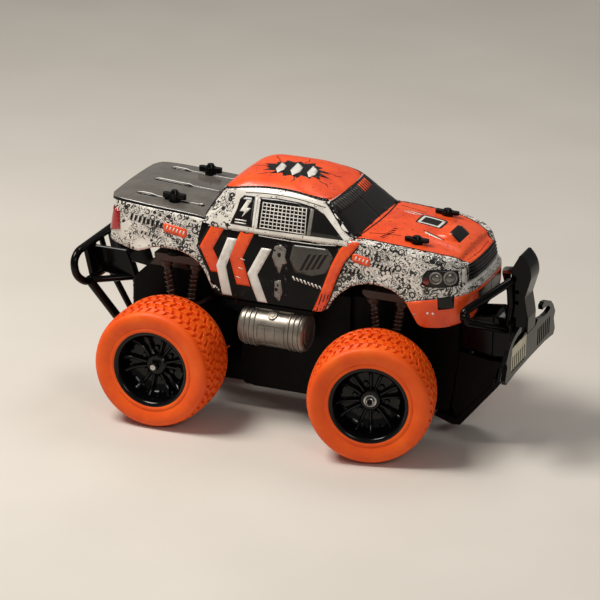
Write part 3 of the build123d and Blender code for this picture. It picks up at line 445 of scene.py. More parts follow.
def curve_through(points, steps=8, closed=False):
    """A smooth line through points (Catmull-Rom)."""
    points = [Vector(p) for p in points]
    n = len(points)
    spans = n if closed else n - 1
    line = []
    for k in range(spans):
        a = points[(k - 1) % n] if closed or k else points[0] * 2 - points[1]
        b, c = points[k], points[(k + 1) % n]
        d = points[(k + 2) % n] if closed or k + 2 < n else c * 2 - b
        for s in range(steps):
            t = s / steps
            line.append(
                0.5 * (2 * b + (c - a) * t + (2 * a - 5 * b + 4 * c - d) * t * t
                       + (3 * b - a - 3 * c + d) * t ** 3)
            )
    if not closed:
        line.append(points[-1])
    return line


def rounded(points, radius, closed=False, steps=6):
    """A line with its corners rounded off, in mm."""
    points = [Vector(p) for p in points]
    n = len(points)
    line = []
    for k, here in enumerate(points):
        if not closed and k in (0, n - 1):
            line.append(here)
            continue
        before, after = points[(k - 1) % n] - here, points[(k + 1) % n] - here
        a = here + before.normalized() * min(radius, before.length * 0.45)
        b = here + after.normalized() * min(radius, after.length * 0.45)
        for s in range(steps + 1):
            t = s / steps
            line.append(a * (1 - t) ** 2 + here * 2 * t * (1 - t) + b * t * t)
    return line


def tube(shape, line, r, sides=14, closed=False, zone=0, in_frame=False):
    """Sweeps a round section along a line given in station mm, or as points in the frame. Open
    ends are rounded."""
    if not in_frame:
        line = [at(*p) for p in line]
    n = len(line)
    radius = r if callable(r) else (lambda t: r)
    tangent = []
    for i in range(n):
        if closed:
            tangent.append((line[(i + 1) % n] - line[i - 1]).normalized())
        else:
            tangent.append((line[min(i + 1, n - 1)] - line[max(i - 1, 0)]).normalized())
    normal = tangent[0].orthogonal().normalized()
    rings = []
    for i in range(n):
        normal = (normal - tangent[i] * normal.dot(tangent[i])).normalized()
        other = tangent[i].cross(normal)
        size = radius(i / (n - 1)) * MM
        rings.append([
            line[i] + (normal * cos(2 * pi * k / sides) + other * sin(2 * pi * k / sides)) * size
            for k in range(sides)
        ])
    if closed:
        rings.append(rings[0])
        shape.rings(rings, zone, caps=False)
        return
    for end, sign in ((0, -1), (-1, 1)):
        centre, way = line[end], tangent[end] * sign
        size = radius(0 if end == 0 else 1) * MM
        extra = [
            [centre + (p - centre) * cos(a) + way * size * sin(a) for p in rings[end]]
            for a in (0.5, 1.0, 1.4)
        ]
        rings = list(reversed(extra)) + rings if end == 0 else rings + extra
    shape.rings(rings, zone)


def block(shape, axes, size, bevel):
    """A box with bevelled edges: size along the axes' out, side and up, in mm."""
    w, u, v = (s / 2 for s in size)
    rings = []
    for along, cut in ((-w, bevel), (-w + bevel, 0.0), (w - bevel, 0.0), (w, bevel)):
        a, b = u - cut, v - cut
        c = min(bevel, a * 0.9, b * 0.9)
        corners = (
            (a - c, b), (a, b - c), (a, -b + c), (a - c, -b), (-a + c, -b), (-a, -b + c),
            (-a, b - c), (-a + c, b),
        )
        rings.append([axes.point(along, p, q) for p, q in corners])
    shape.rings(rings)


# ---------------------------------------------------------------- wheels
TYRE_R, REAR_WHEEL_Y = 45.0, 66.0
BLOCKS_PER_ROW, SPOKES = 42, 6
SHOULDER = 17.5      # beyond this distance from the middle the tread falls away
TREAD_ROWS = (       # from, to, and which way the row's blocks lean
    (-21.9, -13.6, 1.0), (-12.6, -5.0, -1.0), (-3.9, 3.9, 1.0), (5.0, 12.6, -1.0),
    (13.6, 21.9, 1.0),
)


def wheel_axes(joint_name, hand):
    joint = joints[joint_name]
    axis = Vector(joint["axis"])
    if axis.y * hand < 0:
        axis = -axis
    return Axes(joint["pos_m"], axis)


def rear_axes(hand):
    x, _, z = joints["rear_wheels_spin"]["pos_m"]
    return Axes((x, hand * REAR_WHEEL_Y * MM, z), (0, hand, 0))


def tread_radius(w):
    return TYRE_R - 0.0016 * w * w - 0.00002 * w ** 4 * 0.4


def tyre(name, axes, body, node, turn):
    shape = Shape()
    side = (
        (19.7, 27.7), (20.6, 27.9), (21.3, 28.6), (21.6, 29.6), (21.45, 30.5), (21.0, 31.0),
        (21.2, 31.6), (21.9, 33.0), (22.5, 35.2), (22.8, 37.6), (22.6, 39.8), (21.9, 41.5),
        (20.6, 42.6), (18.5, 43.0),
    )
    profile = [(w, r) for w, r in side] + [(w, tread_radius(w) - 1.9) for w in (14, 7, 0, -7, -14)]
    profile += [(-w, r) for w, r in reversed(side)]
    axes.lathe(shape, profile, 88, closed=True)
    # blocks bent in the middle; the outer rows come down over the shoulder
    for row, (w0, w1, lean) in enumerate(TREAD_ROWS):
        for k in range(BLOCKS_PER_ROW):
            angle = turn + 2 * pi * (k + 0.5 * (row % 2)) / BLOCKS_PER_ROW
            length = 4.6 + rng.uniform(-0.25, 0.25)
            skew = 1.15 * lean
            mid = (w0 + w1) / 2
            shift = 0.35 if k % 2 else -0.35
            outline = (
                (w0, -length / 2 - skew), (mid + shift, -length / 2 - skew * 0.2),
                (mid + shift, -length / 2 + skew * 0.5), (w1, -length / 2 + skew),
                (w1, length / 2 + skew), (mid - shift, length / 2 + skew * 0.4),
                (mid - shift, length / 2 - skew * 0.3), (w0, length / 2 - skew),
            )
            centre = sum(p[0] for p in outline) / 8
            rings = []
            for grow, drop in ((1.0, 2.6), (0.99, 0.45), (0.86, 0.0)):
                ring = []
                for w, t in outline:
                    w = centre + (w - centre) * grow
                    t = t * grow
                    r = tread_radius(w) - drop
                    edge = abs(w) - SHOULDER
                    if edge > 0:
                        r -= 0.16 * edge * edge
                    a = angle + t / TYRE_R
                    ring.append(axes.point(w, r * cos(a), r * sin(a)))
                rings.append(ring)
            if axes.out.y < 0:
                rings = [list(reversed(r)) for r in rings]
            shape.rings(rings)
    return shape.build(name, "tyre_orange", body, "tyre_orange", replaces=(node,), crease=30)


def rim(name, axes, body, node, turn):
    shape = Shape()
    outer = (
        (5.2, 8.5), (4.6, 14.0), (5.4, 19.5), (8.0, 22.6), (12.0, 23.8), (16.5, 24.4),
        (19.4, 25.0), (20.4, 25.9), (21.0, 27.0), (21.0, 28.0), (20.3, 28.7), (19.9, 27.6),
    )
    inner = ((-19.9, 27.6), (-20.8, 28.4), (-21.0, 27.4), (-20.2, 25.9), (-6.0, 24.6), (0.5, 23.0),
             (2.0, 12.0), (1.6, 5.4))
    profile = [(10.4, 4.2), (10.4, 6.6), (9.4, 7.8)] + list(outer) + list(inner)
    profile += [(-3.4, 5.0), (-3.8, 2.2), (10.4, 2.2)]
    axes.lathe(shape, profile, 72, closed=True)
    # spokes, each a pair of blades that fall away from the hub and rise to the barrel
    for k in range(SPOKES):
        a = turn + 2 * pi * k / SPOKES
        for hand in (-1, 1):
            rings = []
            for r, spread, width, top, foot in (
                (6.2, 1.3, 1.3, 9.4, 4.4), (10.0, 1.9, 1.25, 8.3, 4.0), (15.0, 2.9, 1.2, 7.9, 4.0),
                (20.0, 4.2, 1.3, 9.2, 4.4), (23.4, 5.2, 1.5, 12.6, 5.5),
            ):
                ring = []
                for side, w in ((-1, foot), (-1, top - 0.7), (-0.45, top), (0.45, top),
                                (1, top - 0.7), (1, foot)):
                    t = hand * spread + side * width
                    ring.append(axes.point(
                        w, r * cos(a) - t * sin(a), r * sin(a) + t * cos(a)
                    ))
                rings.append(ring)
            shape.rings(rings)
        # nut on the hub's flange between the spokes
        b = a + pi / SPOKES
        spot = Axes(axes.point(4.6, 11.5 * cos(b), 11.5 * sin(b)), axes.out)
        spot.lathe(shape, ((-0.5, 2.2), (1.0, 2.1), (1.8, 1.6), (2.0, 0.02)), 6)
        # ribs on the barrel's wall
        for turn_share in (0.0, 0.5):
            c = a + 2 * pi / SPOKES * turn_share
            rings = []
            for w, r, depth in ((7.0, 22.6, 2.6), (12.0, 24.2, 1.2), (17.5, 24.9, 0.3)):
                ring = []
                for t, d in ((-0.8, 0), (-0.5, -depth), (0.5, -depth), (0.8, 0)):
                    ring.append(axes.point(
                        w, (r + d) * cos(c) - t * sin(c), (r + d) * sin(c) + t * cos(c)
                    ))
                rings.append(ring)
            shape.rings(rings)
    return shape.build(name, "rim_black", body, "rim_black", replaces=(node,), crease=35)


def hub_screw(name, axes, body, node):
    shape = Shape()
    axes.lathe(shape, (
        (10.5, 2.1), (10.5, 4.4), (11.1, 4.6), (11.3, 4.2), (11.4, 3.4), (12.6, 3.3), (13.3, 2.7),
        (13.6, 1.6), (13.2, 1.3), (12.7, 1.2), (12.6, 0.02),
    ), 24)
    for k in range(2):
        turn = 1.1 + k * pi / 2
        flat = Axes(axes.point(13.0), axes.out, (0, cos(turn), sin(turn)))
        block(shape, flat, (0.7, 3.6, 0.6), 0.15)
    return shape.build(name, "steel", body, "steel", replaces=(node,))


for hand, where in SIDES:
    front, rear = wheel_axes(f"front_wheel_{where}_spin", hand), rear_axes(hand)
    wheel = f"front_wheel_{where}"
    tyre(f"tyre_front_{where}", front, wheel, f"front_tyre_{where}", 0.03)
    tyre(f"tyre_rear_{where}", rear, "rear_wheels", f"rear_tyre_{where}", 0.08)
    rim(f"rim_front_{where}", front, wheel, f"front_rim_{where}", 0.35)
    rim(f"rim_rear_{where}", rear, "rear_wheels", f"rear_rim_{where}", 0.1)
    hub_screw(f"hub_screw_front_{where}", front, wheel, f"front_wheel_nut_{where}")
hub = Shape()
for hand in (RIGHT, LEFT):
    rear_axes(hand).lathe(hub, (
        (10.2, 2.1), (10.2, 4.4), (10.8, 4.6), (11.2, 3.6), (12.4, 3.4), (13.2, 2.6), (13.4, 0.02),
    ), 6)
hub.build("hub_nuts_rear", "rim_black", "rear_wheels", "steel", replaces=("rear_wheel_nuts",))


# ---------------------------------------------------------------- shock absorbers
SHOCK_Y, SHOCK_LOW = 29.0, 62.0
LOWER_EYE = 4.7
COIL_TURNS, COIL_R, WIRE_R, WIRE_SIDES = 9.5, 3.9, 0.62, 7
SHOCKS = {
    "front": (KING_X, 103.5, (-10.8, 10.8), "front_axle"),
    "rear": (REAR_X, 107.5, (-13.0, 10.5), "rear_axle"),
}
for end, (centre_x, top_z, tops, axle) in SHOCKS.items():
    bodies, rods, coils = Shape(), Shape(), Shape()
    for hand, where in SIDES:
        for top_dx in tops:
            low_dx = LOWER_EYE if top_dx > 0 else -LOWER_EYE
            top = at(centre_x + top_dx, hand * SHOCK_Y, top_z)
            low = at(centre_x + low_dx, hand * SHOCK_Y, SHOCK_LOW)
            length = (low - top).length / MM
            leg = Axes(top, low - top, (0, 1, 0))
            leg.lathe(bodies, (
                (-0.6, 2.6), (-0.6, 4.2), (0.6, 4.7), (2.6, 4.6), (3.8, 4.0), (4.2, 2.75),
                (8.0, 2.7), (8.4, 3.0), (9.6, 3.0), (10.0, 2.7), (0.6 * length, 2.7),
                (0.6 * length + 0.8, 2.2), (0.6 * length + 0.8, 0.9),
            ), 24)
            leg.lathe(rods, (
                (0.35 * length, 0.02), (0.35 * length, 0.9), (length - 5.6, 0.9),
                (length - 5.4, 2.6), (length - 4.4, 4.3), (length - 3.2, 4.5),
                (length - 1.6, 3.6), (length - 0.6, 2.6), (length - 0.4, 0.02),
            ), 20)
            start, stop = 4.3, length - 5.2
            steps = int(COIL_TURNS * 16)
            rings = []
            for k in range(steps + 1):
                share = k / steps
                angle = 2 * pi * COIL_TURNS * share
                ease = smooth(0, 0.09, share) * 0.5 + smooth(0.91, 1.0, share) * 0.5
                along = start + (stop - start) * (0.93 * share + 0.07 * ease)
                radial = leg.side * cos(angle) + leg.up * sin(angle)
                rings.append([
                    leg.point(along) + (
                        radial * (COIL_R - WIRE_R + WIRE_R * cos(q)) + leg.out * WIRE_R * sin(q)
                    ) * MM
                    for q in (2 * pi * m / WIRE_SIDES for m in range(WIRE_SIDES))
                ])
            coils.rings(rings)
    bodies.build(f"shock_bodies_{end}", "shock_brown", "chassis", "shock_brown",
                 replaces=(f"{end}_shock_cylinders",))
    rods.build(f"shock_rods_{end}", "shock_brown", axle, "shock_brown",
               replaces=(f"{end}_shock_rods",))
    coils.build(f"shock_springs_{end}", "spring_steel", "chassis", "spring_steel",
                replaces=(f"{end}_springs",), crease=60)


# ---------------------------------------------------------------- side tanks
TANK_X, TANK_Y, TANK_Z, TANK_R = -28, 39.4, 73.0, 14.0
PANEL_TILT = radians(-6)


def tank_strip(shape, hand, start, stop, steps, section):
    """A raised strip round the tank's outer face: angles in degrees, section in x and radius."""
    rings = []
    for k in range(steps + 1):
        a = radians(start + (stop - start) * k / steps) + PANEL_TILT
        ring = [at(TANK_X + x, hand * (TANK_Y + r * cos(a)), TANK_Z + r * sin(a)) for x,
                r in section]
        rings.append(ring if hand < 0 else ring[::-1])
    shape.rings(rings)


for hand, where in SIDES:
    shape = Shape()
    barrel = Axes(at(TANK_X, hand * TANK_Y, TANK_Z), (1, 0, 0))
    profile = [(0.0, 0.02), (0.0, 8.5), (0.5, 9.0), (0.5, 11.0), (0.0, 12.0), (0.6, 13.2),
               (1.8, TANK_R)]
    for rib in (3.6, 7.3, 11.0, 37.2, 40.9, 44.6):
        profile += [(rib, TANK_R), (rib + 0.25, TANK_R + 0.65), (rib + 0.6, TANK_R + 0.8),
                    (rib + 1.4, TANK_R + 0.8), (rib + 1.75, TANK_R + 0.65), (rib + 2.0, TANK_R)]
    profile += [(48.2, TANK_R), (49.4, 13.2), (50.0, 12.0), (49.5, 11.0), (49.5, 9.0), (50.0, 8.5),
                (50.0, 0.02)]
    barrel.lathe(shape, profile, 72)
    # a panel's raised border on the outer face, and two ribs inside it
    for x0, x1, a0, a1 in ((13.8, 36.2, 30, 34), (13.8, 36.2, -34, -30), (13.8, 15.8, -34, 34),
                           (34.2, 36.2, -34, 34)):
        tank_strip(shape, hand, a0, a1, max(2, int((a1 - a0) / 4)), (
            (x0, TANK_R - 0.4), (x0 + 0.3, TANK_R + 0.6), (x1 - 0.3, TANK_R + 0.6),
            (x1, TANK_R - 0.4),
        ))
    for x in (20.5, 28.0):
        tank_strip(shape, hand, -29, 29, 14, (
            (x, TANK_R - 0.3), (x + 0.2, TANK_R + 0.35), (x + 0.9, TANK_R + 0.35),
            (x + 1.1, TANK_R - 0.3),
        ))
    # filler cap towards the top of the outer face
    out = Vector((0, hand * cos(radians(56)), sin(radians(56))))
    cap = Axes(at(-3, hand * TANK_Y, TANK_Z) + out * TANK_R * MM, out, (1, 0, 0))
    cap.lathe(shape, ((-1.0, 3.6), (0.5, 3.6), (0.9, 3.2), (0.9, 2.6), (0.5, 2.4), (0.5, 1.6),
                      (1.0, 1.4), (1.0, 0.02)), 28)
    # band between the ribs and the cap
    saddle = Axes(at(-3, hand * (TANK_Y - 1), 86.6), (0, 0, 1), (1, 0, 0))
    block(shape, saddle, (4.4, 10, 30), 0.5)
    shape.build(f"tank_{where}", "tank_grey", "chassis", "tank_grey",
                replaces=(f"side_tank_{where}",))

# ---------------------------------------------------------------- bumpers
BAR = 2.9
SIDE_TOP = 105.5
shape = Shape()
ends = ((-158.5, 40, 107.5), (-159, 46, 101.5), (-157, 46, 91), (-152, 40, 84.5))
loop = list(ends) + [(x, -y, z) for x, y, z in reversed(ends)]
tube(shape, rounded(loop, 5, True), BAR, 16, closed=True)
tube(shape, [(-158.5, 0, 107.0), (-155.2, 0, 95.8), (-152, 0, 85.0)], 2.2, 12)
for y, r in ((-34, 3.3), (0, 2.4), (34, 3.3)):
    tube(shape, rounded([(-152, y, 84.5), (-139, 0.74 * y, 62), (-126, 0.5 * y, 40)], 10), r, 14)


def plate_along(shape, outline, y, thick, ease=0.5):
    """Plate with eased edges: an outline in x and z carried across y."""
    cx = sum(x for x, z in outline) / len(outline)
    cz = sum(z for x, z in outline) / len(outline)
    sections = []
    for step, cut in ((-thick / 2, ease), (-thick / 2 + ease, 0), (thick / 2 - ease, 0),
                      (thick / 2, ease)):
        sections.append([
            at(x + cut * (1 if x < cx else -1), y + step, z + cut * (1 if z < cz else -1))
            for x, z in outline
        ])
    shape.rings(sections)


for hand, where in SIDES:
    tube(shape, [(-152, hand * 34, 84.5), (-124.6, hand * 15, 85)], 2.4, 12)
    plate_along(shape, [(-153.6, 84.5), (-150.4, 84.5), (-156.8, 107.5), (-160, 107.5)],
                hand * 21, 15.6)
    plate_along(shape, [(-127, 83), (-122, 84), (-125, 93), (-130, SIDE_TOP), (-157.2, SIDE_TOP),
                        (-155.6, 100.5), (-152.4, 99), (-149, 86)], hand * 16, 3)
plate = Axes(at(-123.5, 0, 57), (1, 0, 0))
block(shape, plate, (3.0, 34, 58), 0.8)
for z in (38, 48, 58, 68, 78):
    block(shape, Axes(at(-125.4, 0, z), (1, 0, 0)), (1.4, 30, 2.4), 0.5)
shape.build("bumper_rear", "bumper_black", "chassis", "bumper_black", replaces=("rear_bumper",))

shape = Shape()
for hand, where in SIDES:
    line = [(161, hand * 12.4, 124), (138.5, hand * 47, 109.5), (140.5, hand * 47, 102.5),
            (160, hand * 12.4, 88)]
    tube(shape, rounded(line, 4.5), BAR, 16)
    tube(shape, [(160.6, hand * 12.4, 121), (161.6, hand * 11.6, 106), (160, hand * 12.4, 90)],
         2.2, 12)
    # the side plates here and the ribbed block below fill the gap between the chassis and the guard
    # in black: partly the chassis's front, partly a dark filler for the shade that hides the far
    # front tyre
    plate_along(shape, [(127, 70), (150.5, 66), (150.5, 97), (127, 94)], hand * 12, 4)
    # round lamp pods on the ends of the bars
    pod = Axes(at(139.6, hand * 47, 106), (0.9, hand * 0.3, 0.0))
    pod.lathe(shape, ((-2.6, 1.5), (-1.2, 3.4), (2.6, 3.6), (3.0, 3.0), (2.4, 2.6), (2.4, 0.02)),
              20)
# black block with ribs: part of the same filler, standing partly for shade under the nose
solid = [(150, 66), (164, 68), (164, 92), (157, 97), (150, 97)]
rings = []
for y, cut in ((-14, 1.0), (-13, 0.0), (13, 0.0), (14, 1.0)):
    cx, cz = 157.5, 82
    rings.append([
        at(x + (cut if x < cx else -cut), y, z + (cut if z < cz else -cut)) for x, z in solid
    ])
shape.rings(rings)
for z in (72, 78, 84, 90):
    block(shape, Axes(at(157, 0, z), (0, 0, 1)), (1.6, 15.0, 30.0), 0.4)
shape.build("bumper_front", "bumper_black", "chassis", "bumper_black", replaces=("front_bumper",))

# painted highlight: cream ribs between the slots of the guard's right half, under a cream band,
# stand for light caught on the ribs; the left half has none
RIBS, RIB_X, RIB_PITCH = 8, 174.4, 4.4
BAND_STEPS, BAND_BACK, BAND_FRONT = 32, 174.2, 174.7
highlight_ribs = Shape()
for k in range(RIBS):
    rib = Axes(at(RIB_X, -13.6 - RIB_PITCH * k, 76.6), (1, 0, 0))
    block(highlight_ribs, rib, (0.8, 1.9, 11.6), 0.25)
rings = []
for k in range(BAND_STEPS + 1):
    y = -13 - 31.8 * k / BAND_STEPS
    wave = 0.15 * cos(2 * pi * k / 4)
    rings.append([at(BAND_BACK, y, 80.4), at(BAND_FRONT + wave, y, 80.9),
                  at(BAND_FRONT + wave, y, 87.0), at(BAND_BACK, y, 87.2)])
highlight_ribs.rings(rings)
highlight_ribs.build("guard_painted_highlight_ribs", "insert_cream", "chassis", "tank_grey")

# ---------------------------------------------------------------- body shell
PLAN = (
    (-134.2, 0), (-134.0, 20), (-133.0, 36), (-130.8, 42.6), (-126, 46.0), (-115, 47.8),
    (-100, 48.8), (-60, 49.5), (0, 49.5), (60, 49.5), (104, 49.3), (118, 47.6), (128, 44.6),
    (134.8, 40.6), (139.2, 34), (141.8, 24), (142.9, 10), (143.1, 0),
)
TOP = (
    (-134.5, 153.0), (-126, 154.0), (-90, 152.4), (-62, 150.8), (-52, 149.2), (-42, 148.0),
    (0, 147.8), (40, 148.0), (50, 149.6), (60, 151.0), (84, 149.8), (101, 148.4), (122, 145.0),
    (131.5, 142.6), (138, 140.4), (143.2, 139.0),
)
BOTTOM = (
    (-134.5, 123.8), (-124, 121.6), (-108, 118.8), (-103, 120.2), (-92, 124.0), (-78, 124.6),
    (-64, 120.6), (-56, 114), (-50.5, 103.5), (-46.5, 96.4), (-42, 94.0), (-36, 93.6), (31, 93.6),
    (38, 96.5), (44, 105.4), (52, 113.6), (62, 119.3), (74, 121.3), (86, 119.3), (96.5, 112.5),
    (102.5, 103), (107.5, 95.2), (111, 94.2), (126, 95.2), (137, 97.4), (143.2, 98.0),
)
NOSE = ((90, 6.5), (98, 4.2), (104, 0.8), (110, 0.0), (122.4, 0.0), (124.2, 1.2), (125.6, 3.2),
        (131, 4.2), (139.5, 6.0), (142, 6.6))
FILLET = 3.0
SHELL_WALL, INK = 1.2, 0.07      # thickness of the shell and of a print on it


class Track:
    """A plan line read by the distance along it, which is 0 at station 0."""

    def __init__(self, points):
        self.line = [p.to_2d() for p in curve_through([(x, y, 0) for x, y in points], 14)]
        self.runs = [0.0]
        for a, b in zip(self.line, self.line[1:]):
            self.runs.append(self.runs[-1] + (b - a).length)
        middle = next(i for i, p in enumerate(self.line) if p.x >= 0)
        zero = self.runs[middle] - self.line[middle].x
        self.runs = [r - zero for r in self.runs]

    def at(self, s):
        """The point at a distance, and the direction to the right of the way there."""
        s = min(max(s, self.runs[0]), self.runs[-1])
        i = min(bisect_right(self.runs, s) - 1, len(self.runs) - 2)
        t = (s - self.runs[i]) / max(1e-6, self.runs[i + 1] - self.runs[i])
        here = self.line[i].lerp(self.line[i + 1], t)
        a, b = self.line[max(i - 1, 0)], self.line[min(i + 2, len(self.line) - 1)]
        way = (b - a).normalized()
        if s <= self.runs[0] + 0.01:
            way = Vector((0, 1))
        if s >= self.runs[-1] - 0.01:
            way = Vector((0, -1))
        return here, Vector((way.y, -way.x))


track = Track(PLAN)
TAIL_S, NOSE_S = track.runs[0], track.runs[-1]


def wall_inset(s, x, z):
    """How far the wall stands inside the plan line."""
    nose = smooth(116, 146, s)
    tail = smooth(-122, -146, s)
    side = 1.7 * max(0.0, (z - 131) / 20) ** 1.5 + 1.5 * max(0.0, (114 - z) / 20) ** 1.5
    inset = nose * table(NOSE, z) + (1 - nose) * side
    inset += tail * 0.16 * (z - 124)
    lip = z - table(BOTTOM, x)
    arch = smooth(-110, -104, x) * smooth(-40, -46, x) + smooth(32, 38, x) * smooth(110, 104, x)
    inset -= 0.9 * arch * (1 - smooth(2.2, 6.0, lip))
    return inset


def wall(s, z, lift=0.0, hand=RIGHT):
    """A point on the body's side, front or back; lift stands it off the surface."""
    here, inward = track.at(s)
    if inward.dot(Vector((here.x * 0.2, here.y))) > 0:
        inward = -inward
    top = table(TOP, here.x)
    inset = wall_inset(s, here.x, z) - lift
    over = z - (top - FILLET)
    if over > 0:
        inset += FILLET - sqrt(max(0.0, FILLET ** 2 - min(over, FILLET) ** 2))
    p = here + inward * inset
    return at(p.x, hand * p.y, z)


def hood_height(x, y, edge_y, edge_z):
    """Height of the bonnet and the bed's rim across the truck."""
    share = min(1.0, abs(y) / max(edge_y, 1.0))
    if x > 0:
        crown = 2.4 * smooth(150, 90, x) * smooth(45, 60, x)
        shelf = 0.9 * (1 - smooth(20, 24, abs(y))) * smooth(64, 70, x) * smooth(136, 126, x)
        return edge_z + crown * (1 - share ** 2.4) + shelf
    return edge_z


FINE, COARSE = 1.5, 2.4      # spacing of the wall's columns, in the arches and elsewhere
columns = []
s = TAIL_S
while s < NOSE_S - 0.4:
    columns.append(s)
    here, _ = track.at(s)
    in_arch = -112 < here.x < -38 or 30 < here.x < 112
    s += FINE if in_arch else COARSE
columns.append(NOSE_S)
WALL_ROWS, FILLET_ROWS, ACROSS = 16, 5, 36
shape = Shape()
grids = {}
for hand, where in SIDES:
    grid = []
    for s in columns:
        here, _ = track.at(s)
        low, top = table(BOTTOM, here.x), table(TOP, here.x)
        column = [wall(s, low + (top - FILLET - low) * k / WALL_ROWS, 0, hand)
                  for k in range(WALL_ROWS + 1)]
        for k in range(1, FILLET_ROWS + 1):
            z = top - FILLET + FILLET * sin(pi / 2 * k / FILLET_ROWS)
            column.append(wall(s, min(z, top), 0, hand))
        grid.append(column)
    grids[hand] = grid
    points = [p for column in grid for p in column]
    rows = len(grid[0])
    faces = []
    for c in range(len(grid) - 1):
        for k in range(rows - 1):
            quad = (c * rows + k, (c + 1) * rows + k, (c + 1) * rows + k + 1, c * rows + k + 1)
            faces.append(quad if hand == RIGHT else tuple(reversed(quad)))
    shape.add(points, faces, 0)
SEAM = ((50, 44.6), (60, 43.6), (100, 42.0), (116, 38.4), (127, 32.4), (134, 26.0), (143, 18.0))
# zones of the shell, in the order of its materials
REAR, WING, HOOD, RAIL, ROOF, DARK, LINING = range(7)
WING_FROM, HOOD_WRAP_FROM = 20, 130      # stations where the dense print and the wrap begin
for i, face in enumerate(shape.faces):
    middle = sum((shape.points[v] for v in face), Vector()) / len(face) / MM
    x = middle.x - MID_X
    shape.zones[i] = WING if x > WING_FROM else REAR
    on_edge = x > HOOD_WRAP_FROM and middle.z > table(TOP, x) - FILLET
    if on_edge and abs(middle.y) < table(SEAM, x):
        shape.zones[i] = HOOD


def lid(low_x, high_x, spans, zone):
    """Closes the body's top across the truck between two stations, where spans(x, y) is true."""
    edges = [column[-1] for column in grids[RIGHT]]
    grid = []
    for edge in [e for e in edges if low_x <= e.x / MM - MID_X <= high_x]:
        x, y, z = edge.x / MM - MID_X, abs(edge.y) / MM, edge.z / MM
        grid.append([
            at(x, y * (2 * k / ACROSS - 1), hood_height(x, y * (2 * k / ACROSS - 1), y, z))
            for k in range(ACROSS + 1)
        ])
    points = [p for row in grid for p in row]
    n = ACROSS + 1
    faces = []
    for r in range(len(grid) - 1):
        for k in range(ACROSS):
            corner = grid[r][k]
            x, y = corner.x / MM - MID_X, (corner.y + grid[r][k + 1].y) / 2 / MM
            if spans(x, y):
                faces.append((r * n + k, (r + 1) * n + k, (r + 1) * n + k + 1, r * n + k + 1))
    base = len(shape.zones)
    shape.add(points, faces, zone)
    for i, face in enumerate(faces):
        middle = sum((points[v] for v in face), Vector()) / len(face) / MM
        if zone == HOOD and abs(middle.y) > table(SEAM, middle.x - MID_X):
            shape.zones[base + i] = WING


lid(50.0, 150.0, lambda x, y: True, HOOD)
lid(-140.0, -52.0, lambda x, y: abs(y) > 38.0 or x < -123.5, REAR)
lid(-54.0, 52.0, lambda x, y: abs(y) > 40.0, DARK)

# cab: rings from the belt line up over the gutter to the middle of the roof
CAB = (
    (145.5, -61.0, 61.5, 48.6, 9.0), (149.0, -59.4, 59.6, 47.7, 9.0),
    (154.0, -56.8, 53.8, 45.8, 8.5),
    (160.0, -53.2, 46.6, 43.3, 8.0), (166.0, -49.4, 39.4, 40.8, 7.5),
    (170.6, -46.4, 33.9, 38.9, 7.5),
    (172.6, -44.4, 30.6, 37.8, 8.0), (174.2, -42.2, 26.4, 36.2, 8.0),
    (176.0, -39.4, 20.6, 34.0, 8.0),
    (177.8, -36.4, 14.8, 31.4, 8.0), (179.2, -33.4, 10.4, 28.6, 8.0),
    (180.1, -29.0, 6.0, 25.0, 8.0),
    (180.7, -21.0, 0.5, 18.0, 6.0), (181.0, -13.0, -5.0, 8.0, 3.0), (181.05, -9.4, -8.6, 1.0, 0.4),
)
SIDE_STEPS, END_STEPS, CORNER_STEPS = 34, 20, 6


def gutter(x):
    """Height of the line where the roof's orange meets the rail."""
    return 171.4 + 4.4 * max(0.0, 1 - ((x + 5) / 39) ** 2)


def cab_ring(z, back, front, half, corner):
    """One level of the cab as a rounded rectangle with bowed ends and sides."""
    middle, reach = (back + front) / 2, (front - back) / 2
    scale = min(1.0, (z - 140) / 10) * min(1.0, half / 30)
    ring = []

    def bowed(x, y):
        bow = 3.0 if x > middle else -1.8
        x += scale * bow * (1 - (y / half) ** 2) * abs(x - middle) / reach
        inner = 1 - ((x - middle) / reach) ** 2 if abs(x - middle) < reach else 0
        y += scale * 1.1 * inner * y / half
        return at(x, y, z)

    a, b = reach - corner, half - corner
    for k in range(SIDE_STEPS):
        ring.append(bowed(middle - a + 2 * a * k / SIDE_STEPS, -half))
    for quarter, (cx, cy, line) in enumerate((
        (a, -b, END_STEPS), (a, b, SIDE_STEPS), (-a, b, END_STEPS), (-a, -b, 0),
    )):
        start = -pi / 2 + quarter * pi / 2
        for k in range(CORNER_STEPS + 1):
            angle = start + pi / 2 * k / CORNER_STEPS
            ring.append(bowed(middle + cx + corner * cos(angle), cy + corner * sin(angle)))
        last = {0: (a + corner, -b, a + corner, b), 1: (a, b + corner, -a, b + corner),
                2: (-a - corner, b, -a - corner, -b)}.get(quarter)
        if last:
            x0, y0, x1, y1 = last
            for k in range(1, line):
                t = k / line
                ring.append(bowed(middle + x0 + (x1 - x0) * t, y0 + (y1 - y0) * t))
    ring.pop()
    return ring


def finer(rows, parts):
    """Rows of numbers with smooth rows put in between."""
    keys = list(zip(*rows))
    marks = list(range(len(rows)))
    out = []
    for k in range((len(rows) - 1) * parts + 1):
        out.append(tuple(table(list(zip(marks, column)), k / parts) for column in keys))
    return out


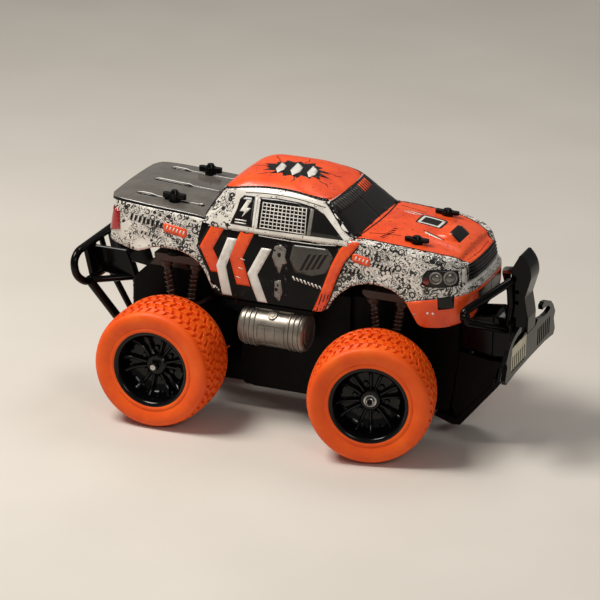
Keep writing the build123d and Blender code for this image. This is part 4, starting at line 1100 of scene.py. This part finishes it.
cab_rings = [cab_ring(*row) for row in finer(CAB, 2)]
n = len(cab_rings[0])
points = [p for ring in cab_rings for p in ring]
faces, zones = [], []
for k in range(len(cab_rings) - 1):
    for i in range(n):
        j = (i + 1) % n
        faces.append((k * n + i, k * n + j, (k + 1) * n + j, (k + 1) * n + i))
        middle = (cab_rings[k][i] + cab_rings[k + 1][j]) / 2 / MM
        x = middle.x - MID_X
        zones.append(ROOF if middle.z > gutter(x) else REAR if x < -36 else RAIL)
faces.append(tuple((len(cab_rings) - 1) * n + i for i in range(n)))
zones.append(ROOF)
base = len(shape.points)
shape.points += points
shape.faces += [tuple(base + v for v in f) for f in faces]
shape.zones += zones
skin = shape.build(
    "shell_skin",
    ["white_rear", "white_front", "orange_hood", "rail_white", "orange_roof", "print_black",
     "shell_inside"],
    "body_shell", "shell_livery", replaces=("body_shell", "window_glazing"), crease=42,
)
bpy.context.view_layer.update()
tree = BVHTree.FromPolygons([tuple(p) for p in shape.points], shape.faces)
weld = skin.modifiers.new("weld", "WELD")
weld.merge_threshold = 0.02 * MM
wall_mod = thicken(skin, SHELL_WALL)
wall_mod.material_offset = LINING
wall_mod.material_offset_rim = LINING


# ---------------------------------------------------------------- bed cover
def deck(x, y):
    """Height of the bed cover, which is crowned across the truck."""
    return table(TOP, x) + 1.2 + 1.9 * (1 - (y / 47.0) ** 2)


cover = Shape()
HALF_CUTS = 14
COVER_TAIL, COVER_LENGTH, COVER_STEPS = -132.0, 75.4, 34
rings = []
for k in range(COVER_STEPS + 1):
    x = COVER_TAIL + COVER_LENGTH * k / COVER_STEPS
    edge = table(PLAN, x) - 2.4 - 2.0 * smooth(-129, COVER_TAIL, x)
    top, low = [], []
    for i in range(-HALF_CUTS, HALF_CUTS + 1):
        share = i / HALF_CUTS
        y = (edge - 0.7) * i / (HALF_CUTS - 1) if abs(i) < HALF_CUTS else edge * share
        top.append(at(x, y, deck(x, y) - (0.6 if abs(i) == HALF_CUTS else 0.0)))
        low.append(at(x, y, table(TOP, x) - 0.9))
    rings.append(top + low[::-1])
cover.rings(rings)
per_ring = len(rings[0])
for i in range(len(cover.zones) - 2):
    if i % per_ring in (2 * HALF_CUTS, per_ring - 1):
        cover.zones[i] = 1
cover.zones[-2] = 1
# beads along the cover: thick towards the tail, thin towards the cab, with a small boss; each is
# white in a black rim, the white a painted highlight on its crest and the black painted shade round
# it
BEAD_TAIL, BEAD_LENGTH = -114.5, 49.5
for y, thick_to, boss in ((0, -89, -88), (-31, -102, -65), (31, -102, -65)):
    for grow, sink, zone in ((0.75, 0.8, 1), (0.0, 0.0, 2)):
        xs = [BEAD_TAIL + 0.5 * k for k in range(100)]
        line = [(x, y, deck(x, y) + 0.15 - sink) for x in xs]

        def bead(t, grow=grow, thick_to=thick_to, boss=boss):
            x = BEAD_TAIL + BEAD_LENGTH * t
            r = 0.62 + 0.8 * smooth(thick_to + 3, thick_to - 3, x) * smooth(-115, -111, x)
            return r + 0.7 * max(0.0, 1 - ((x - boss) / 2.4) ** 2) ** 0.5 + grow

        tube(cover, line, bead, 10, zone=zone)
cover.build("bed_cover_lid", ["bed_grey", "ink_black", "ink_white"], "body_shell", "bed_grey",
            replaces=("bed_cover",), crease=50)


# ---------------------------------------------------------------- prints on the shell
def inside(point, outline):
    x, y = point
    hit = False
    for (x0, y0), (x1, y1) in zip(outline, outline[1:] + outline[:1]):
        if (y0 > y) != (y1 > y) and x < x0 + (y - y0) * (x1 - x0) / (y1 - y0):
            hit = not hit
    return hit


def fill(outline, step):
    """Triangles that fill an outline, with points inside it every step."""
    outline = [Vector(p) for p in outline]
    border = []
    for a, b in zip(outline, outline[1:] + outline[:1]):
        parts = max(1, ceil((b - a).length / step))
        border += [a.lerp(b, k / parts) for k in range(parts)]
    xs, ys = [p.x for p in border], [p.y for p in border]
    flat = [tuple(p) for p in border]
    extra = []
    y = min(ys) + step / 2
    while y < max(ys):
        x = min(xs) + step / 2
        while x < max(xs):
            if inside((x, y), flat) and min(hypot(x - p.x, y - p.y) for p in border) > step * 0.45:
                extra.append(Vector((x, y)))
            x += step
        y += step
    loop = [(i, (i + 1) % len(border)) for i in range(len(border))]
    points, _, faces, *_ = delaunay_2d_cdt(border + extra, loop, [list(range(len(border)))], 1,
                                           1e-4)
    return [tuple(p) for p in points], [tuple(f) for f in faces]


def stroke(points, width, closed=False):
    """Outlines of short quads that draw a line of that width."""
    points = [Vector(p) for p in points]
    if closed:
        points = points + [points[0]]
    quads = []
    for a, b in zip(points, points[1:]):
        way = (b - a).normalized()
        side = Vector((-way.y, way.x)) * width / 2
        way = way * width * 0.3
        quads.append([tuple(p) for p in (a - way - side, b + way - side, b + way + side,
                                         a - way + side)])
    return quads


NO_AREA = 1e-10     # twice the area, in square metres, below which a face is dropped
END_FACE = 118      # beyond this distance from the middle a print may face forward or back


class Print:
    """A thin layer of ink over the shell, in one material."""

    def __init__(self, name, material, lift, place=None):
        self.name, self.material, self.lift, self.place = name, material, lift, place
        self.shape = Shape()

    def lay(self, outline, place=None, step=2.5, both=True):
        place = place or self.place
        points, faces = fill(outline, step)
        for hand in (RIGHT, LEFT) if both else (RIGHT,):
            placed = [place(p[0], p[1], self.lift, hand) for p in points]
            used = {}
            out_faces = []
            for face in faces:
                a, b, c = (placed[i] for i in face[:3])
                if a is None or b is None or c is None:
                    continue
                area = (b - a).cross(c - a)
                if area.length < NO_AREA:
                    continue
                outward = self.outward(sum((placed[i] for i in face), Vector()) / len(face))
                order = face if area.dot(outward) > 0 else tuple(reversed(face))
                out_faces.append(tuple(used.setdefault(i, len(used)) for i in order))
            self.shape.add([placed[i] for i in used], out_faces)
        return self

    def outward(self, point):
        """The shell's normal near a point, turned away from the truck's middle."""
        _, normal, _, _ = tree.find_nearest(point)
        middle = at(0, 0, 130)
        flat = Vector((0, point.y - middle.y, point.z - middle.z))
        if abs(point.x - middle.x) > END_FACE * MM:
            flat.x = point.x - middle.x
        return normal if normal.dot(flat) > 0 else -normal

    def draw(self, points, width, place=None, closed=False, step=3.0, both=True):
        for quad in stroke(points, width, closed):
            self.lay(quad, place, step, both)
        return self

    def done(self, slot="shell_livery"):
        obj = self.shape.build(self.name, self.material, "body_shell", slot, crease=60)
        thicken(obj, INK, 1.0)
        return obj


def on_wall(s, z, lift, hand):
    """Prints given by distance along the body and height; kept off the arches' edges."""
    here, _ = track.at(s)
    z = max(z, table(BOTTOM, here.x) + 0.05)
    z = min(z, table(TOP, here.x) - 0.02)
    return wall(s, z, lift, hand)


# where rays towards the cab start: beside it, above it, before and behind it
CAST_Y, CAST_Z, CAST_FRONT_X, CAST_BACK_X = 120, 240, 64, -66


def hit(origin, way, lift):
    """The point where a ray meets the shell, stood off it by lift; None if it misses."""
    place, normal, _, _ = tree.ray_cast(origin, way)
    if place is None:
        return None
    if normal.dot(way) > 0:
        normal = -normal
    return place + normal * lift * MM


def on_cab_side(x, z, lift, hand):
    return hit(at(x, hand * CAST_Y, z), Vector((0, -hand, 0)), lift)


def on_top(x, y, lift, hand):
    return hit(at(x, y, CAST_Z), Vector((0, 0, -1)), lift)


def on_top_pair(x, y, lift, hand):
    return hit(at(x, -hand * y, CAST_Z), Vector((0, 0, -1)), lift)


def on_front(y, z, lift, hand):
    return hit(at(CAST_FRONT_X, hand * y, z), Vector((-1, 0, 0)), lift)


def on_back(y, z, lift, hand):
    return hit(at(CAST_BACK_X, hand * y, z), Vector((1, 0, 0)), lift)


def disc(x, y, r, n=18, flat=1.0):
    return [(x + r * cos(2 * pi * k / n), y + r * flat * sin(2 * pi * k / n)) for k in range(n)]


def bars_along(ink, place, start, end, count, size, lean=0.6):
    """A row of small slanted bars from start to end, standing in for a printed strip."""
    (x0, y0), (x1, y1) = start, end
    wide, high = size
    for k in range(count):
        t = k / (count - 1)
        x, y = x0 + (x1 - x0) * t, y0 + (y1 - y0) * t
        tall = high * (1.0, 0.82, 0.94)[k % 3]
        ink.lay([(x - wide / 2 - lean, y - tall / 2), (x + wide / 2 - lean, y - tall / 2),
                 (x + wide / 2 + lean, y + tall / 2), (x - wide / 2 + lean, y + tall / 2)], place,
                 2.5)


def chevron(tip, reach, half, width, drop=0.0):
    """An arrowhead that points back, as an outline."""
    x, z = tip
    return [(x, z), (x + reach + drop, z + half), (x + reach + width + drop, z + half),
            (x + width, z),
            (x + reach + width, z - half), (x + reach, z - half)]


# side prints
black = Print("print_doors", "print_black", 0.05, on_wall)
black.lay([(-57.5, 148.4), (-60.4, 134), (-57.6, 124), (-52, 112), (-47, 95), (-43, 93), (27, 93),
           (33, 104), (41, 122), (48, 140), (54, 152), (20, 152), (-30, 152)])
black.done()

orange = Print("print_side_orange", "orange_plain", 0.12, on_wall)
orange.lay([(27.5, 93), (35.5, 93), (40.0, 104), (45.5, 121), (51, 134), (60.5, 147), (63, 151.2),
            (55, 151.5), (47, 143), (41, 130), (34.5, 111)])
orange.lay([(96.5, 111.5), (104, 113.6), (114, 115.4), (126, 117.4), (134, 119.0), (146, 120.4),
            (160, 121.2), (NOSE_S, 121.6), (NOSE_S, 92), (112, 92), (104, 93)])
# a row of arrowheads on the door, in turn orange and white
orange.lay(chevron((-58.8, 129.6), 9.0, 17.6, 10.4))
orange.lay(chevron((-36.0, 126.0), 6.0, 21.0, 10.4, 3.0))
orange.done()

white = Print("print_side_white", "ink_white", 0.18, on_wall)
white.lay(chevron((-45.6, 117.4), 4.4, 21.8, 7.4, 3.6))
white.lay(chevron((-21.8, 114.8), 7.4, 20.6, 7.6, 3.0))
# trim under the windows and a row of bars towards the sill
white.draw([(-14, 146.9), (10, 146.4), (30, 146.8), (46, 148.4)], 0.9)
white.draw([(-14, 143.9), (10, 143.3), (30, 143.6), (44, 145.0)], 0.5)
bars_along(white, on_wall, (13.5, 116.4), (33.5, 112.4), 8, (1.2, 3.0), -0.8)
for k in range(3):
    white.draw([(-27 - 1.6 * k, 125 - 7 * k), (-24 - 1.6 * k, 124.4 - 7 * k)], 0.6)
white.done()

dusk = Print("print_side_dusk", "ink_dusk", 0.09, on_wall)
dusk.lay([(12, 141), (38, 141.6), (42.4, 136), (38.4, 124), (27, 120), (14, 121), (10, 130)])
dusk.done()
stripes = Print("print_side_stripes", "ink_black", 0.14, on_wall)
for k in range(4):
    x = 24 + 4.2 * k
    stripes.lay([(x, 136 + 0.6 * k), (x + 2.2, 136.3 + 0.6 * k), (x - 4.4, 123 + k),
                 (x - 6.6, 123 + k)])
for k in range(3):
    x = 30.2 + 2.3 * k
    stripes.lay([(x, 94), (x + 0.8, 94), (x + 5.2, 108), (x + 4.4, 108)])
# arrowheads and strips have a black outline where they stand on the white print
stripes.draw([(-50.2, 148.6), (-60.6, 129.8), (-51.4, 112.0)], 1.4)
stripes.draw([(27.0, 93.6), (34.0, 111), (40.4, 130), (46.4, 143), (53, 150.6)], 0.9)
stripes.draw([(36.0, 93.6), (40.6, 104), (46.1, 121), (51.6, 134), (61, 147)], 0.9)
bars_along(stripes, on_wall, (-112.6, 143.4), (-89, 140.4), 8, (1.9, 5.2))
bars_along(stripes, on_wall, (-104, 133.2), (-92, 131.4), 5, (1.1, 2.6))
bars_along(stripes, on_wall, (72.6, 135.6), (87.4, 133.6), 6, (1.4, 3.6))
bars_along(stripes, on_wall, (49.4, 127.4), (61.4, 128.6), 5, (1.6, 4.0))
stripes.draw(disc(-62.6, 140.6, 2.3, 14), 0.8, closed=True, step=2.0)
stripes.draw(disc(-75.0, 130.6, 1.9, 14), 0.7, closed=True, step=2.0)
stripes.done()

smears = Print("print_side_grey", "ink_grey", 0.12, on_wall)
smears.lay([(-1.6, 138), (3, 140), (7.4, 137), (6.4, 131), (8.0, 127), (4.4, 124), (2.4, 118),
            (-1.0, 124), (-3.4, 130)])
smears.lay([(-1, 112), (3.6, 113.6), (4.8, 104), (2.4, 97), (-1.4, 100)])
smears.done()
speck = Print("print_side_speckle", "ink_black", 0.16, on_wall)
for k in range(26):
    x, z = rng.uniform(-3.4, 8), rng.uniform(97, 140)
    speck.lay(disc(x, z, rng.uniform(0.4, 1.5), 7, rng.uniform(0.6, 1.6)))
speck.done()

badge = Print("print_badges", "orange_plain", 0.16, on_wall)
badge.lay([(-87.4, 141.6), (-85.8, 143.0), (-70, 140.6), (-68.8, 139.2), (-69, 134.8),
           (-70.6, 133.8),
           (-86, 136.2), (-87.2, 137.6)])
badge.lay([(56.6, 140.4), (58, 141.4), (69, 139.6), (70.2, 138.4), (70, 134.2), (68.6, 133.4),
           (57.6, 135.2), (56.6, 136.2)])
badge.done()
mark = Print("print_badge_marks", "ink_white", 0.2)
bars_along(mark, on_wall, (-84.4, 139.6), (-71.4, 137.4), 6, (1.1, 2.8), 0.5)
bars_along(mark, on_wall, (59.4, 138.2), (67.6, 136.8), 4, (1.1, 2.6), 0.5)
mark.done()

# windows and roof prints
glass = Print("print_windows", "window_dark", 0.06)
glass.lay([(-36.2, 149.4), (-32.6, 160), (-31.6, 166.4), (-28.8, 169.2), (-20.6, 169.4),
           (-19.4, 149)],
          on_cab_side, 3.0)
glass.lay([(-16.6, 148.6), (-17.0, 169.4), (-4, 170.4), (12, 169.8), (24, 168.0), (32.6, 164.2),
           (49.6, 149.4)], on_cab_side, 3.0)
glass.lay([(0, 151.6), (45.4, 151.6), (44.4, 156), (37.6, 169.6), (33.6, 171.2), (0, 171.6)],
          on_front, 3.0)
glass.lay([(0, 153.4), (37, 153.4), (32, 168), (0, 168)], on_back, 3.0)
glass.done("window_dark")

net = Print("print_window_net", "ink_white", 0.12, on_cab_side)
for k in range(12):
    share = k / 11
    x0, x1 = -13.4 + 34.0 * share, -13.8 + 32.6 * share
    net.draw([(x0, 149.6), (x1, 166.6)], 0.55)
for k in range(8):
    z = 149.9 + 2.35 * k
    net.draw([(-13.6, z), (20.2 - 0.2 * k, z)], 0.55)
# pillar between the side windows and its two bright edges
net.lay([(-18.9, 149), (-17.7, 149), (-18.3, 169), (-19.5, 169)])
net.lay([(-16.4, 149), (-15.6, 149), (-16.2, 168.6), (-17, 168.6)])
# generic mark and two bars on the rear pillar's panel
net.lay([(-30.4, 158.6), (-26.2, 166.4), (-22.6, 166.4), (-25.4, 161.4), (-22.2, 161.4),
         (-28.2, 154.8),
         (-26.6, 158.6)], on_cab_side, 2.0)
net.draw([(-32.6, 152.8), (-24.4, 152.8)], 0.8)
net.draw([(-32.6, 150.9), (-24.4, 150.9)], 0.8)
net.done()
frames = Print("print_window_pillar", "ink_grey", 0.13, on_cab_side)
frames.lay([(22.0, 149.2), (24.8, 149.2), (24.4, 166.4), (21.8, 167.0)])
frames.done()

roof_line = Print("roof_lines_and_gutter_shadow", "ink_black", 0.12, on_cab_side)
# the line along the gutter is painted shadow where the roof's edge meets the rail
line = [(x, gutter(x) + 0.1) for x in range(-44, 33, 4)]
roof_line.draw(line, 1.0)
roof_line.draw([(x, z - 3.4) for x, z in line if x > -30], 0.4)
roof_line.draw([(-56.8, 152), (-53.6, 158), (-50.0, 164), (-46.4, 169.4), (-44, 171.6)], 1.3)
roof_line.draw([(31, 171.2), (37.0, 167.2), (44.8, 160.6), (52.6, 153.6), (57, 150.4)], 0.8)
roof_line.done()

roof_black = Print("print_roof_splash", "ink_black", 0.05)
points = []
spikes = 15
for k in range(2 * spikes):
    r = (19.4 if k % 2 == 0 else 15.0) * rng.uniform(0.9, 1.14)
    a = 2 * pi * k / (2 * spikes)
    points.append((-5 + 1.22 * r * cos(a), -3 + r * 0.9 * sin(a)))
roof_black.lay(points, on_top, 2.5, both=False)
for a, reach in ((0.5, 15), (1.5, 12), (2.4, 18), (3.3, 16), (4.1, 14), (4.9, 12), (5.8, 16)):
    x, y = -5 + 19 * cos(a), -3 + 14 * sin(a)
    crack = [(x, y)]
    for k in range(4):
        b = a + rng.uniform(-0.7, 0.7)
        x, y = x + reach / 4 * cos(b), y + reach / 4 * sin(b)
        crack.append((x, y))
    roof_black.draw(crack, 0.55, on_top, both=False)
roof_black.done()
roof_white = Print("print_roof_mark", "ink_white", 0.12)
for x, y, size in ((-16.6, -4.4, 1.15), (-5.4, -3.2, 1.35), (6.4, -2.2, 1.15)):
    roof_white.lay([
        (x + size * dx, y + size * dy)
        for dx, dy in ((2.6, -10.5), (4.4, -4), (3.2, 3.5), (-2.2, 9.8), (-1.6, 3.0), (-1.2, -3.6))
    ], on_top, 2.5, both=False)
roof_white.done()

visor = Print("print_visor", "ink_black", 0.1)
visor.lay([(0, 171.9), (33, 171.4), (38.0, 164.6), (0, 164.6)], on_front)
visor.done()
bars = Print("print_visor_bars", "ink_dusk", 0.16)
lit = Print("print_visor_orange", "orange_plain", 0.16)
for k in range(17):
    y = -31 + 3.6 * k
    row = bars if y < 9 else lit
    row.lay([(y, 165.6), (y + 2.1, 165.6), (y + 1.6, 170.6), (y - 0.5, 170.6)],
            lambda y, z, lift, side: on_front(y, z, lift, 1), 2.0, both=False)
bars.done()
lit.done()

# bonnet prints
seams = Print("print_seams", "ink_black", 0.08)
seams.draw([(x, table(SEAM, x)) for x in (54, 60, 70, 80, 90, 100, 108, 116, 122, 127, 131, 134.6)],
           1.1, on_top_pair)
seams.draw([(57, 45.0), (59.6, 30), (61.4, 12), (61.6, 0)], 1.2, on_top_pair)
seams.draw([(63, 33), (78, 28.4), (84, 26.6)], 0.5, on_top_pair)
seams.draw([(72, 22.6), (84, 19.6)], 1.0, on_top, both=False)
seams.lay([(84.6, 1.8), (86.8, -0.2), (102.6, -1.0), (104.6, 1.0), (104.4, 15.4), (102.2, 17.6),
           (86.6, 18.2), (84.4, 16)], on_top, 2.5, both=False)
bars_along(seams, on_top, (73.6, -35.4), (77.4, -19.4), 7, (3.0, 1.2), 0.5)
seams.draw([(96, -11.6), (104, -14.2), (112.6, -16.4)], 0.8, on_top, both=False)
seams.draw([(105.4, 4.4), (118, 6.8)], 0.7, on_top, both=False)
seams.done()
hood_white = Print("print_bonnet_white", "ink_white", 0.14)
hood_white.draw([(87.2, 2.2), (102, 1.4), (102.2, 14.8), (87.2, 15.6)], 2.0, on_top, closed=True,
                both=False)
hood_white.draw([(72, 20.6), (84, 17.6)], 1.1, on_top, both=False)
hood_white.draw([(71, 17.4), (82, 14.8)], 0.8, on_top, both=False)
hood_white.lay([(97, -13.0), (105, -15.4), (113, -18.2), (108, -18.2), (98, -15.6)], on_top, 2.5,
               both=False)
hood_white.lay([(105.4, 5.6), (112, 6.6), (117.6, 8.6), (110, 8.8), (105.6, 7.6)], on_top, 2.5,
               both=False)
hood_white.done()

# white panel beside the grille, the band under it, and the valance's sockets
rail = Print("print_white_band", "ink_white", 0.1, on_wall)
rail.lay([(137, 121.0), (146, 121.4), (NOSE_S, 121.9), (NOSE_S, 127.0), (146, 126.6), (137, 124.6)])
rail.lay([(138.4, 127.2), (143.6, 127.8), (144.6, 136.4), (139.2, 136.8)])
rail.done()
dark = Print("valance_marks_and_opening_shade", "ink_black", 0.2, on_wall)
dark.lay([(119.6, 117.4), (131.4, 119.4), (131.4, 110.2), (120.4, 108.4)], on_wall, 2.0)
# the large dark patch on the nose is the lower grille opening; its black is partly painted shade in
# that gap
dark.lay([(154, 118.4), (NOSE_S, 119.2), (NOSE_S, 97), (156, 98.5)])
dark.draw([(145.4, 127.0), (146.4, 138.2)], 1.0)
dark.draw([(146, 127.3), (160, 127.6), (NOSE_S, 127.7)], 0.6)
dark.draw([(97.5, 112.2), (104, 114.0), (119, 116.9)], 0.5)
dark.done()
dots = Print("print_valance_dots", "ink_white", 0.2, on_wall)
for x in (113.2, 117.0):
    dots.lay(disc(x, 105.2, 0.9, 10), on_wall, 1.0)
dots.done()


# ---------------------------------------------------------------- lamps, grille, scoop
def wall_axes(s, z, hand, lift=0.0):
    here = wall(s, z, 0, hand)
    along = wall(s + 1, z, 0, hand) - wall(s - 1, z, 0, hand)
    up = wall(s, z + 1, 0, hand) - wall(s, z - 1, 0, hand)
    out = along.cross(up) * (1 if hand == RIGHT else -1)
    return Axes(here + out.normalized() * lift * MM, out, up)


def wall_patch(shape, outline, step, lift):
    """A filled outline laid on the body's right and left side."""
    points, faces = fill(outline, step)
    for hand in (RIGHT, LEFT):
        shape.add([wall(s, z, lift, hand) for s, z in points],
                  faces if hand == RIGHT else [tuple(reversed(f)) for f in faces])


def hood_arch(shape, rows, steps, low, power, foot):
    """A hump on the bonnet: rows of station, half width and rise over the bonnet."""
    rings = []
    for x, half, rise in rows:
        base = hood_height(x, 0, 46, table(TOP, x))
        ring = []
        for k in range(steps + 1):
            t = -1 + 2 * k / steps
            edge = 1 - abs(t) ** power
            ring.append(at(x, half * t, base - low + (low + rise) * edge ** 0.5))
        rings.append(ring + [at(x, half, base - foot), at(x, -half, base - foot)])
    shape.rings(rings)


housing, rims, glasses, ambers = Shape(), Shape(), Shape(), Shape()
wall_patch(housing, [(108.4, 126.4), (109.0, 133.0), (112, 137.8), (124, 138.0), (134.4, 136.8),
                     (135.6, 131), (134.8, 126.2), (124, 125.0), (112, 124.8)], 2.5, 0.5)
for hand, where in SIDES:
    for s, r in ((118.2, 3.9), (128.2, 4.4)):
        a = wall_axes(s, 131.9, hand, 0.2)
        a.lathe(rims, ((0.0, r + 0.7), (1.0, r + 0.6), (1.4, r), (1.0, r - 0.5), (0.3, r - 0.9)),
                32)
        a.lathe(glasses, ((0.1, r - 0.4), (0.9, r - 1.2), (1.4, r * 0.4), (1.5, 0.02)), 28)
    a = wall_axes(111.6, 128.8, hand, 0.4)
    a.lathe(ambers, ((-0.2, 2.4), (0.5, 2.2), (0.9, 1.2), (1.0, 0.02)), 18)
house = housing.build("lamp_housing", "grille_black", "body_shell", "grille_black",
                      replaces=("headlamps",))
thicken(house, 0.5)
rims.build("lamp_bezels", "ink_grey", "body_shell", "lamp_clear")
glasses.build("lamp_lenses", "lamp_clear", "body_shell", "lamp_clear")
ambers.build("lamp_markers", "lamp_amber", "body_shell", "lamp_red")

tails = Shape()
wall_patch(tails, [(-141.5, 131), (-141, 146.9), (-131, 147.6), (-122.6, 145.6), (-121.8, 132.6),
                   (-131, 130.2)], 2.0, 0.8)
tail = tails.build("lamp_tails", "lamp_red", "body_shell", "lamp_red", replaces=("tail_lamps",))
thicken(tail, 0.8)

grid = Shape()
for z in (129.4, 131.8, 134.2, 136.6):
    line = [wall(s, z, 0.5, RIGHT) for s in (148, 152, 160, 170, NOSE_S)]
    line += [wall(s, z, 0.5, LEFT) for s in (170, 160, 152, 148)]
    tube(grid, line, 0.55, 8, in_frame=True)
wall_patch(grid, [(146.6, 127.9), (NOSE_S, 127.9), (NOSE_S, 138.2), (148.4, 138.2)], 2.5, 0.25)
for k in range(13):
    y = -24 + 4 * k
    s = NOSE_S - abs(y) * 1.01
    hand = RIGHT if y < 0 else LEFT
    tube(grid, [wall(s, 128.8, 0.3, hand), wall(s, 137.6, 0.3, hand)], 0.4, 6, in_frame=True)
grid.build("grille_bars", "grille_black", "body_shell", "grille_black", replaces=("grille",))

scoop, mouth = Shape(), Shape()
hood_arch(scoop, (
    (103, 12.6, -0.6), (105, 13.4, 0.3), (108, 14.2, 1.6), (111, 14.8, 2.7), (113.6, 15.0, 3.4),
    (115.4, 14.8, 3.6), (116.6, 14.6, 3.2), (122.6, 13.8, -0.8),
), 16, 1.6, 6, 3)
scoop.build("bonnet_scoop", "orange_hood", "body_shell", "shell_livery", crease=50)
# the dark opening in its front
hood_arch(mouth, ((114.2, 12.2, 3.72), (116.4, 12.6, 3.62), (122.2, 12.4, -0.1),
                  (123.0, 12.0, -1.6)),
          12, 1.2, 8, 2.4)
mouth.build("bonnet_scoop_mouth", "ink_black", "body_shell", "grille_black", crease=50)

# ---------------------------------------------------------------- frame parts that stay
EDGES = {"front_fin": 1.3, "hook_bar": 0.7, "skid_plate": 0.8, "chassis_tub": 0.8}
OTHER_EDGES = 0.35
for name, obj in frame["nodes"].items():
    for holder in obj.material_slots:
        slot_name = holder.material.name.split(".")[0] if holder.material else ""
        if slot_name in M:
            holder.link = "OBJECT"
            holder.material = M[slot_name]
    if name not in ("body_shell", "window_glazing"):
        bevel = obj.modifiers.new("edges", "BEVEL")
        bevel.width = EDGES.get(name, OTHER_EDGES) * MM
        bevel.segments = 3 if name in EDGES else 2
        bevel.limit_method = "ANGLE"
        bevel.angle_limit = radians(40)
        bevel.harden_normals = False

for end, (centre_x, top_z, tops, axle) in SHOCKS.items():
    coil = bpy.data.objects[f"shock_springs_{end}"]
    coil.parent = None
    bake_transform(coil)

# ---------------------------------------------------------------- stage, light, camera
mesh = bpy.data.meshes.new("floor")
FLOOR = 3.0      # half its width, in metres
corners = ((-1, -1), (1, -1), (1, 1), (-1, 1))
mesh.from_pydata([(FLOOR * x, FLOOR * y, 0) for x, y in corners], [], [(0, 1, 2, 3)])
floor = bpy.data.objects.new("floor", mesh)
bpy.context.scene.collection.objects.link(floor)
f = Finish("floor_pale", roughness=0.6)
f.colour(f.ramp(f.noise(6, 2, 0.5), ((0.3, rgb(205, 200, 192)), (0.7, rgb(212, 207, 199)))))
mesh.materials.append(f.material)


def light(name, place, target, size, power, colour):
    data = bpy.data.lights.new(name, "AREA")
    data.shape = "RECTANGLE"
    data.size, data.size_y = size
    data.energy = power
    data.color = colour
    obj = bpy.data.objects.new(name, data)
    obj.location = place
    obj.rotation_euler = (Vector(target) - Vector(place)).to_track_quat("-Z", "Y").to_euler()
    bpy.context.scene.collection.objects.link(obj)


light("key", (-0.55, -0.35, 1.15), (0, 0, 0.08), (0.5, 0.5), 17.0, (1.0, 0.95, 0.88))
light("back", (0.15, 0.8, 1.5), (0, 0, 0.1), (0.5, 0.5), 5.0, (1.0, 0.97, 0.93))
light("front", (0.9, -1.0, 0.9), (0, 0, 0.08), (0.4, 0.4), 3.0, (1.0, 0.97, 0.93))
world = bpy.data.worlds.new("studio")
world.use_nodes = True
world.node_tree.nodes["Background"].inputs["Color"].default_value = (0.9, 0.88, 0.85, 1)
world.node_tree.nodes["Background"].inputs["Strength"].default_value = 0.22
bpy.context.scene.world = world
bpy.context.scene.view_settings.view_transform = "Standard"

AZIMUTH, ELEVATION, ROLL = radians(21.08), radians(20.56), radians(1.247)
DISTANCE = 2452.26
camera_data = bpy.data.cameras.new("camera")
camera_data.lens = 204.0
camera_data.sensor_width = 36.0
camera = bpy.data.objects.new("camera", camera_data)
back = Vector((sin(AZIMUTH) * cos(ELEVATION), -cos(AZIMUTH) * cos(ELEVATION), sin(ELEVATION)))
aim = at(-0.679, 0, 80.915)
camera.location = aim + back * DISTANCE * MM
camera.rotation_euler = ((-back).to_track_quat("-Z", "Y").to_matrix().to_4x4()).to_euler()
camera.rotation_euler.rotate_axis("Z", ROLL)
bpy.context.scene.collection.objects.link(camera)
bpy.context.scene.camera = camera
